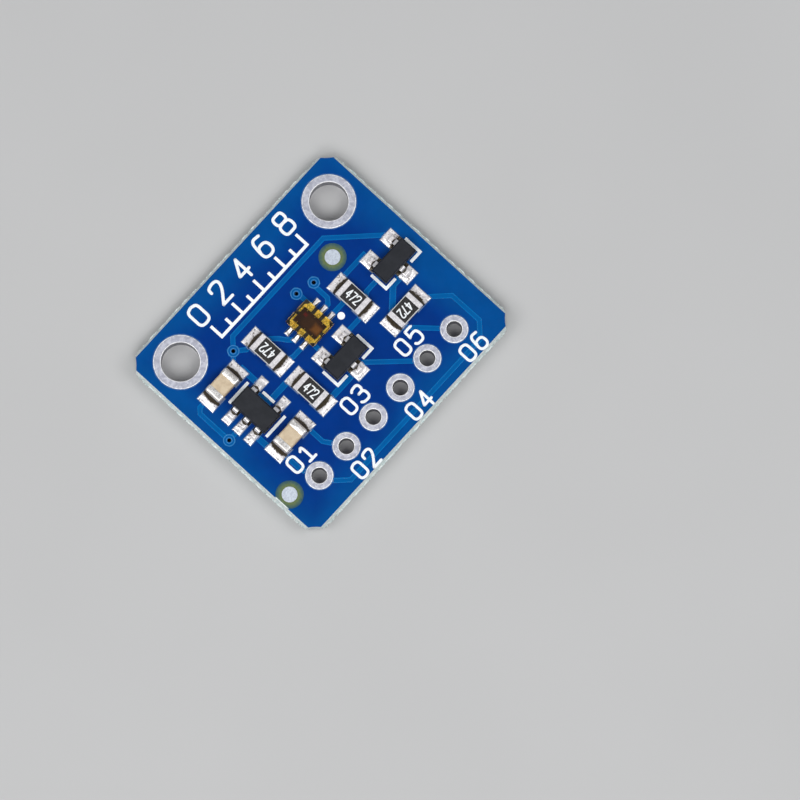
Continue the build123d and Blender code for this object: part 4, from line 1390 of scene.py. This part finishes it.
@dataclass
class Joint:
    """One solder joint: a skin that fills its land and climbs the metal that stands on it."""

    land: Box
    metal: Box
    climb: float
    reach: float
    # where the painted shade and dark reflection lie on the joint, and how far they reach and fade
    dark: DarkSide = DarkSide.TIP
    dark_reach: float = 0.16
    dark_fade: float = 0.24
    heel_reach: float = 0.10
    heel_fade: float = 0.08
    streak: float = 0.055  # half width of the bright streak between dark sides
    bow: float = 1.15  # how far the dark reaches in the middle
    bow_fall: float = 0.75  # and how much less it does at the metal's sides
    bow_limit: float = 1.3
    film: float = 0.03
    step: float = 0.04
    rim: float = 0.07
    lump: float = 0.014
    wave_per_mm: float = 2.6
    ripple_per_mm: float = 6.0
    curl: float = 2.2  # power by which the skin steepens towards the metal
    inset: float = 0.012
    least: float = 0.0005  # height of the skin's rim over the land
    foot: float = 0.002  # depth of the skin's underside below the land's face

    def outside(self, x: float, y: float, box: Box, grown: float = 0.0) -> float:
        """Distance from a point to a box's outline, negative inside it."""
        dx = max(box[0].x - grown - x, x - box[1].x - grown)
        dy = max(box[0].y - grown - y, y - box[1].y - grown)
        if dx > 0 and dy > 0:
            return math.hypot(dx, dy)
        return max(dx, dy)

    def height(self, x: float, y: float) -> float:
        """The solder's height over the land at a point."""
        edge = min(1.0, max(0.0, -self.outside(x, y, self.land)) / self.rim)
        dome = math.sqrt(max(0.0, 1.0 - (1.0 - edge) ** 2))
        away = self.outside(x, y, self.metal, -self.inset)
        if away <= 0:
            buried = self.film + (self.climb if self.dark is DarkSide.HEEL else 0.0)
            return buried * dome
        share = max(0.0, 1.0 - away / self.reach)
        wave = noise.noise(Vector((x * self.wave_per_mm, y * self.wave_per_mm, 0.5)))
        ripple = noise.noise(Vector((x * self.ripple_per_mm, y * self.ripple_per_mm, 4.0)))
        return dome * (self.film + self.climb * share**self.curl + self.lump * (wave + 0.5 * ripple))

    def shade(self, x: float, y: float) -> float:
        """How much painted shade and dark reflection the skin gets at a point, from 0 to 1: dark where it
        climbs steeply.
        """
        land_middle, metal_middle = middle_of(self.land), middle_of(self.metal)
        out = land_middle - metal_middle
        axis = 0 if abs(out.x) > abs(out.y) else 1
        sign = math.copysign(1.0, out[axis])
        spot = (x, y)
        if self.dark is DarkSide.SIDES:
            length = (self.land[1] - self.land[0])[axis]
            along = 2 * (spot[axis] - land_middle[axis]) / length
            aside = abs(spot[1 - axis] - land_middle[1 - axis])
            return max(0.0, min(1.0, (aside - self.streak * (1 + along**2)) / self.streak))
        half = (self.metal[1] - self.metal[0])[1 - axis] / 2
        aside = abs(spot[1 - axis] - metal_middle[1 - axis]) / half
        bow = self.bow - self.bow_fall * min(self.bow_limit, aside) ** 2
        if self.dark is DarkSide.HEEL:
            heel = self.metal[0][axis] if sign > 0 else self.metal[1][axis]
            past = (spot[axis] - heel) * sign
            return max(0.0, min(1.0, 1.0 - (past - self.heel_reach * bow) / self.heel_fade))
        tip = self.metal[1][axis] if sign > 0 else self.metal[0][axis]
        past = (spot[axis] - tip) * sign
        if past < 0:
            return 0.0
        return max(0.0, min(1.0, 1.0 - (past - self.dark_reach * bow) / self.dark_fade))

    def add_to(self, solid: bmesh.types.BMesh) -> None:
        """Adds the joint's closed skin to a bmesh in millimetres."""
        shade = solid.verts.layers.float.get("shade") or solid.verts.layers.float.new("shade")
        low, high = self.land
        count_x = max(6, round((high.x - low.x) / self.step))
        count_y = max(6, round((high.y - low.y) / self.step))
        base = high.z
        rows: list[list[bmesh.types.BMVert]] = []
        for i in range(count_x + 1):
            row = []
            for j in range(count_y + 1):
                x = low.x + (high.x - low.x) * i / count_x
                y = low.y + (high.y - low.y) * j / count_y
                vertex = solid.verts.new((x, y, base + max(self.least, self.height(x, y))))
                # keeps the painted shade on each vertex for the solder's finish
                vertex[shade] = self.shade(x, y)
                row.append(vertex)
            rows.append(row)
        for i in range(count_x):
            for j in range(count_y):
                solid.faces.new((rows[i][j], rows[i + 1][j], rows[i + 1][j + 1], rows[i][j + 1]))
        rim = [rows[i][0] for i in range(count_x + 1)]
        rim += [rows[count_x][j] for j in range(1, count_y + 1)]
        rim += [rows[i][count_y] for i in range(count_x - 1, -1, -1)]
        rim += [rows[0][j] for j in range(count_y - 1, 0, -1)]
        foot = [solid.verts.new((vert.co.x, vert.co.y, base - self.foot)) for vert in rim]
        for i, vert in enumerate(rim):
            after = (i + 1) % len(rim)
            solid.faces.new((vert, foot[i], foot[after], rim[after]))
        solid.faces.new(list(reversed(foot)))


def joints_piece(node: str, joints: Sequence[Joint]) -> None:
    """Makes one piece of all the joints of a part and shows it instead of the frame's solder."""
    solid = bmesh.new()
    for joint in joints:
        joint.add_to(solid)
    piece(f"{node}_joints", from_bmesh(solid, f"{node}_joints", 50.0), SOLDER, (node,))


def land_under(box: Box) -> Box:
    """The land on which a box of metal stands, taken from the frame's own lands."""
    return min(LANDS, key=lambda land: (middle_of(land).xy - middle_of(box).xy).length)


LANDS = islands("component_lands")


@dataclass
class EndCap:
    """The metal dipped over one end of a capacitor: a rounded block with a bulging inner edge."""

    box: Box
    axis: int
    out: int
    round_end: float = 0.17
    round_side: float = 0.13
    bulge: float = 0.09
    swell: float = 0.012  # how much thinner the inner rim is
    swell_share: float = 0.12  # share of the length over which it thickens
    rounded_rims: int = 2  # sections from the inner rim on that bulge
    least_radius: float = 0.01
    corner_steps: int = 5
    side_steps: int = 8
    end_steps: int = 6

    def ring(self, inset: float) -> list[Point]:
        """A rounded rectangle round the cap's section, with so much taken off all round.

        Args:
            inset: how far the ring lies inside the cap's sides.

        Returns:
            Points as (across, up) from the section's middle.
        """
        low, high = self.box
        half_across = (high - low)[1 - self.axis] / 2 - inset
        half_up = (high - low).z / 2 - inset
        radius = max(self.least_radius, self.round_side - inset)
        points = []
        for quarter in range(4):
            turn = quarter * math.pi / 2
            sign_across = 1 if quarter in (0, 3) else -1
            sign_up = 1 if quarter in (0, 1) else -1
            for i in range(self.corner_steps + 1):
                angle = turn + i / self.corner_steps * math.pi / 2
                points.append(
                    (
                        sign_across * (half_across - radius) + radius * math.cos(angle),
                        sign_up * (half_up - radius) + radius * math.sin(angle),
                    )
                )
            points += self.run_between(points[-1], quarter, half_across, half_up, radius)
        return points

    def run_between(
        self, last: Point, quarter: int, half_across: float, half_up: float, radius: float
    ) -> list[Point]:
        """The points along the flat side that follows a corner."""
        reach = (half_across if quarter % 2 == 0 else half_up) - radius
        step = {0: (-1, 0), 1: (0, -1), 2: (1, 0), 3: (0, 1)}[quarter]
        points = []
        for i in range(1, self.side_steps):
            along = 2 * reach * i / self.side_steps
            points.append((last[0] + step[0] * along, last[1] + step[1] * along))
        return points

    def add_to(self, solid: bmesh.types.BMesh) -> None:
        """Adds the cap's closed skin to a bmesh in millimetres."""
        low, high = self.box
        middle = middle_of(self.box)
        length = (high - low)[self.axis]
        half_across = (high - low)[1 - self.axis] / 2
        half_up = (high - low).z / 2
        levels = [(0.0, self.swell), (self.swell_share * length, 0.0), (length - self.round_end, 0.0)]
        for i in range(1, self.end_steps + 1):
            angle = i / self.end_steps * math.pi / 2
            back = self.round_end * (1 - math.sin(angle))
            levels.append((length - back, self.round_end * (1 - math.cos(angle))))
        rings = []
        for number, (along, inset) in enumerate(levels):
            ring = []
            for across, up in self.ring(inset):
                place = along
                if number < self.rounded_rims:
                    face_across = 1 - min(1.0, abs(across) / half_across) ** 2
                    face_up = 1 - min(1.0, abs(up) / half_up) ** 2
                    place -= self.bulge * (max(face_across, face_up) - 0.5)
                point = middle.copy()
                start = low[self.axis] if self.out > 0 else high[self.axis]
                point[self.axis] = start + self.out * max(0.0, place)
                point[1 - self.axis] += across
                point.z += up
                ring.append(solid.verts.new(point))
            rings.append(ring)
        for inner, outer in zip(rings, rings[1:]):
            for i, vertex in enumerate(inner):
                after = (i + 1) % len(inner)
                solid.faces.new((vertex, inner[after], outer[after], outer[i]))
        solid.faces.new(list(reversed(rings[0])))
        solid.faces.new(rings[-1])


class ChipKind(Enum):
    """The two kinds of chip with metal ends."""

    RESISTOR = "resistor"
    CAPACITOR = "capacitor"


@dataclass
class Chip:
    """A chip resistor or capacitor with its ends, its coat or block, and its joints."""

    kind: ChipKind
    number: int
    band_round: float = 0.03
    block_round: float = 0.02
    coat_round: float = 0.012
    climb: float = 0.34
    reach: float = 0.62

    @property
    def stem(self) -> str:
        """The first part of the chip's node names."""
        return f"{self.kind.value}_{self.number}"

    def end_caps(self, node: str) -> None:
        """Replaces both caps of a capacitor with rounded ones."""
        middle = middle_of(box_of(node))
        solid = bmesh.new()
        for box in islands(node):
            out = middle_of(box) - middle
            axis = 0 if abs(out.x) > abs(out.y) else 1
            EndCap(box, axis, 1 if out[axis] > 0 else -1).add_to(solid)
        piece(f"{node}_rounded", from_bmesh(solid, f"{node}_rounded", 60.0), END_CAP, (node,))

    def build(self) -> None:
        """Makes and finishes the chip."""
        ends = f"{self.stem}_terminals"
        if self.kind is ChipKind.CAPACITOR:
            ends = f"{self.stem}_caps"
            self.end_caps(ends)
            block = f"{self.stem}_ceramic"
            piece(f"{block}_block", softened(block, self.block_round, 3), CERAMIC, (block,))
        else:
            piece(f"{ends}_rounded", softened(ends, self.band_round, 3), END_BAND, (ends,))
            dress(f"{self.stem}_substrate", ALUMINA)
            coat = f"{self.stem}_coat"
            piece(f"{self.stem}_glaze", softened(coat, self.coat_round, 3), COAT, (coat,))
        joints = [Joint(land_under(box), box, self.climb, self.reach) for box in islands(ends)]
        joints_piece(f"{self.stem}_solder", joints)


@dataclass
class Package:
    """A moulded package with bent leads."""

    stem: str
    body_round: float = 0.035
    lead_round: float = 0.02
    foot_reach: float = 0.30
    climb: float = 0.16
    foot: float = 0.36

    def feet(self) -> list[Box]:
        """The box of each lead's foot, where it lies on its land."""
        middle = middle_of(box_of(f"{self.stem}_body"))
        feet = []
        for lead in islands(f"{self.stem}_leads"):
            foot_low, foot_high = lead[0].copy(), lead[1].copy()
            out = middle_of(lead) - middle
            span = lead[1] - lead[0]
            axis = 0 if span.x > span.y else 1
            if out[axis] > 0:
                foot_low[axis] = foot_high[axis] - self.foot
            else:
                foot_high[axis] = foot_low[axis] + self.foot
            feet.append((foot_low, foot_high))
        return feet

    def build(self) -> None:
        """Makes and finishes the package."""
        body, leads = f"{self.stem}_body", f"{self.stem}_leads"
        piece(f"{self.stem}_moulding", softened(body, self.body_round, 3, 10.0), MOULDING, (body,))
        piece(f"{self.stem}_legs", softened(leads, self.lead_round, 2, 40.0), LEAD_TIN, (leads,))
        joints = [
            Joint(land_under(foot), foot, self.climb, self.foot_reach, DarkSide.HEEL) for foot in self.feet()
        ]
        joints_piece(f"{self.stem}_solder", joints)


@dataclass
class LightSensor:
    """The clear sensor: resin over a gold frame, its die, wires and joints."""

    skin: float = 0.003
    edge_round: float = 0.05
    base_film: float = 0.01
    base_inset: float = 0.06
    climb: float = 0.10
    reach: float = 0.42
    joint_rim: float = 0.11
    contact_half: float = 0.2
    land_margin: float = 0.02

    def moulding(self) -> None:
        """The clear block, without the hollows that the frame's solid has for what lies inside."""
        low, high = box_of("sensor_body")
        inset = Vector((self.skin, self.skin, 0.0))
        solid = block(middle_of((low, high)), high - low - 2 * inset)
        rounded(solid, solid.edges, self.edge_round, 4)
        piece("clear_moulding", weighted(solid, "clear_moulding"), RESIN, ("sensor_body",))

    def base(self) -> None:
        """A dark sheet of painted shade under the frame, which shows between the parts of the frame."""
        low, high = box_of("sensor_body")
        size = Vector((high.x - low.x - self.base_inset, high.y - low.y - self.base_inset, self.base_film))
        middle = Vector((*middle_of((low, high)).xy, low.z + self.base_film))
        piece("sensor_shade_sheet", from_bmesh(block(middle, size), "sensor_shade_sheet"), SENSOR_SHADE_SHEET)

    def contact_ends(self) -> list[Box]:
        """The box of each contact's outer end, which its joint climbs."""
        low, high = box_of("sensor_body")
        middle = (low.x + high.x) / 2
        ends = []
        for land in self.lands():
            row = round(middle_of(land).y, 3)
            end_low = Vector((low.x, row - self.contact_half, low.z))
            end_high = Vector((high.x, row + self.contact_half, high.z))
            if land[0].x < middle:
                end_high.x = middle
            else:
                end_low.x = middle
            ends.append((end_low, end_high))
        return ends

    def lands(self) -> list[Box]:
        """The six lands under the sensor."""
        low, high = box_of("sensor_solder")
        margin = Vector((self.land_margin, self.land_margin, 0.0))
        low, high = low - margin, high + margin
        return [
            land
            for land in LANDS
            if all(land[0][axis] > low[axis] and land[1][axis] < high[axis] for axis in (0, 1))
        ]

    def build(self) -> None:
        """Makes and finishes the sensor."""
        self.moulding()
        self.base()
        dress("sensor_die", DIE)
        for node in ("sensor_paddle", "sensor_contacts", "sensor_bond_wires"):
            dress(node, GOLD)
        joints = [
            Joint(land, end, self.climb, self.reach, DarkSide.SIDES, rim=self.joint_rim)
            for land, end in zip(self.lands(), self.contact_ends())
        ]
        joints_piece("sensor_solder", joints)


DIGITS: dict[str, list[list[Point]]] = {
    "0": [
        [
            (0.31, 1), (0, 0.92), (0, 0.5), (0, 0.08), (0.31, 0),
            (0.62, 0.08), (0.62, 0.5), (0.62, 0.92), (0.31, 1),
        ]
    ],
    "1": [[(0.08, 0.78), (0.33, 1), (0.33, 0)], [(0.06, 0), (0.6, 0)]],
    "2": [[(0, 0.74), (0.02, 1), (0.6, 1.04), (0.62, 0.66), (0, 0)], [(0, 0), (0.62, 0)]],
    "3": [
        [(0, 0.9), (0.12, 1), (0.6, 1.02), (0.6, 0.56), (0.22, 0.54)],
        [(0.22, 0.54), (0.64, 0.54), (0.64, -0.02), (0.12, 0), (0, 0.12)],
    ],
    "4": [[(0.45, 0), (0.45, 1)], [(0.45, 1), (0, 0.3)], [(0, 0.3), (0.62, 0.3)]],
    "5": [
        [(0.56, 1), (0.06, 1)],
        [(0.06, 1), (0.03, 0.56)],
        [(0.03, 0.56), (0.2, 0.66), (0.64, 0.66), (0.64, -0.02), (0.12, -0.02), (0, 0.12)],
    ],
    "6": [
        [
            (0.54, 0.96), (0.1, 1.02), (0, 0.5), (0, -0.02),
            (0.62, -0.02), (0.62, 0.58), (0.1, 0.6), (0.01, 0.34),
        ]
    ],
    "7": [[(0, 1), (0.62, 1)], [(0.62, 1), (0.22, 0)]],
    "8": [
        [(0.31, 0.54), (0.02, 0.56), (0.02, 0.98), (0.31, 1), (0.6, 0.98), (0.6, 0.56), (0.31, 0.54)],
        [(0.31, 0.54), (-0.02, 0.5), (-0.02, 0.02), (0.31, 0), (0.64, 0.02), (0.64, 0.5), (0.31, 0.54)],
    ],
}


def rounded_run(points: Sequence[Point], rounds: int) -> list[Point]:
    """Cuts the corners of a run of points so many times, with its ends held."""
    run = list(points)
    for _ in range(rounds):
        cut = [run[0]]
        for (x0, y0), (x1, y1) in zip(run, run[1:]):
            cut.append((0.75 * x0 + 0.25 * x1, 0.75 * y0 + 0.25 * y1))
            cut.append((0.25 * x0 + 0.75 * x1, 0.25 * y0 + 0.75 * y1))
        cut.append(run[-1])
        run = cut
    return run


@dataclass
class Label:
    """A plain number, printed at a place."""

    text: str
    x: float
    y: float
    height: float
    turn_degrees: float = 0.0
    width: float = 0.95  # widening of the digits
    spacing: float = 0.36  # gap between digits one high

    def runs(self, rounds: int) -> list[list[Point]]:
        """The strokes of the number in the board's plane.

        Args:
            rounds: how many times corners are rounded off.

        Returns:
            A run of points for each stroke.
        """
        advance = DIGIT_WIDTH * self.width + self.spacing
        total = advance * len(self.text) - self.spacing
        turn = math.radians(self.turn_degrees)

        def placed(place: int, u: float, v: float) -> Point:
            """A point of the digit at one place, on the board."""
            across = (place * advance + u * self.width - total / 2) * self.height
            along = (v - 0.5) * self.height
            x = self.x + across * math.cos(turn) - along * math.sin(turn)
            y = self.y + across * math.sin(turn) + along * math.cos(turn)
            return x, y

        return [
            [placed(place, u, v) for u, v in rounded_run(stroke, rounds)]
            for place, digit in enumerate(self.text)
            for stroke in DIGITS[digit]
        ]


@dataclass
class Print:
    """Numbers drawn as strokes of ink that follow the surface under them."""

    name: str
    labels: list[Label]
    under: str
    stroke: float = 0.2
    ink: float = 0.02
    rounds: int = 3
    step: float = 0.05
    sink: float = 0.2  # share of the ink's height that lies below the surface
    drop_from: float = 5.0

    def mesh(self) -> bpy.types.Mesh:
        """Draws the strokes and lays them on the surface.

        Returns:
            A finished mesh.
        """
        tree = GeometryTree(f"{self.name}_strokes", {"Half width": self.stroke / 2, "Step": self.step})
        half_width = tree.input("Half width")
        line = tree.curves()
        blob = tree.add("GeometryNodeMeshUVSphere", {"Segments": 12, "Rings": 6, "Radius": half_width})
        blobs = tree.strewn(tree.dots(line, tree.input("Step")), blob.outputs["Mesh"])
        tube = tree.tube(line, tree.circle(8, half_width))
        tree.close(tree.join(tube, blobs), PRINT)
        strokes = [run for label in self.labels for run in label.runs(self.rounds)]
        runs = [[Vector((x, y, 0.0)) for x, y in run] for run in strokes]
        mesh = tree.run(edges_mesh(self.name, runs), self.name)
        self.lay(mesh)
        return settled(mesh, 60.0)

    def lay(self, mesh: bpy.types.Mesh) -> None:
        """Drops each vertex to the surface below it and keeps a film of ink above that."""
        solid = merged(self.under)
        surface = BVHTree.FromBMesh(solid)
        solid.free()
        half = self.stroke / 2
        down = Vector((0.0, 0.0, -1.0))
        for vertex in mesh.vertices:
            hit, *_ = surface.ray_cast(Vector((*vertex.co.xy, self.drop_from)), down)
            ground = hit.z if hit else Board.mask_face
            vertex.co.z = ground + self.ink * max(-self.sink, vertex.co.z / half)

    def build(self) -> None:
        """Adds the print to the module."""
        piece(self.name, self.mesh(), PRINT)


@dataclass
class Numbers:
    """The plain numbers of the board: the scale's, the pin holes' and the chips' codes."""

    scale: tuple[int, ...] = (0, 2, 4, 6, 8)
    scale_middle: float = 4.0
    scale_height: float = 1.42
    scale_y: float = 6.88
    pin_count: int = 6
    pin_height: float = 1.12
    pin_stroke: float = 0.18
    pin_above: float = 1.62
    pin_below: float = 1.66
    code: str = "472"
    code_height: float = 0.6
    code_width: float = 0.68
    code_spacing: float = 0.15
    code_stroke: float = 0.085
    code_ink: float = 0.006
    code_step: float = 0.03
    code_turns: tuple[float, ...] = (0.0, 180.0, 180.0, 180.0)  # one for each resistor

    def scale_numbers(self) -> None:
        """Prints the numbers along the scale."""
        labels = [Label(str(i), i - self.scale_middle, self.scale_y, self.scale_height) for i in self.scale]
        Print("scale_numbers", labels, "solder_mask_top").build()

    def pin_numbers(self) -> None:
        """Prints the pin holes' numbers, above and below them by turns."""
        labels = []
        for number in range(1, self.pin_count + 1):
            middle = middle_of(box_of(f"header_eyelet_{number}"))
            side = self.pin_above if number % 2 else -self.pin_below
            labels.append(Label(f"0{number}", middle.x, middle.y + side, self.pin_height))
        Print("pin_numbers", labels, "solder_mask_top", stroke=self.pin_stroke).build()

    def codes(self) -> None:
        """Prints the code on each resistor, along it."""
        for number, turn in enumerate(self.code_turns, start=1):
            coat = f"resistor_{number}_coat"
            low, high = box_of(coat)
            middle = middle_of((low, high))
            if high.y - low.y > high.x - low.x:
                turn += 90.0
            label = Label(
                text=self.code,
                x=middle.x,
                y=middle.y,
                height=self.code_height,
                turn_degrees=turn,
                width=self.code_width,
                spacing=self.code_spacing,
            )
            Print(
                name=f"resistor_{number}_code",
                labels=[label],
                under=coat,
                stroke=self.code_stroke,
                ink=self.code_ink,
                rounds=1,
                step=self.code_step,
            ).build()

    def build(self) -> None:
        """Prints all numbers."""
        self.scale_numbers()
        self.pin_numbers()
        self.codes()


def main() -> None:
    """Builds the whole module in order."""
    logging.basicConfig(level=logging.INFO, format="%(message)s")
    Studio().build()
    Board().build()
    for number in (1, 2, 3, 4):
        Chip(ChipKind.RESISTOR, number).build()
    for number in (1, 2):
        Chip(ChipKind.CAPACITOR, number).build()
    Package("regulator").build()
    Package("transistor_1").build()
    Package("transistor_2").build()
    LightSensor().build()
    Numbers().build()


if __name__ == "__main__":
    main()
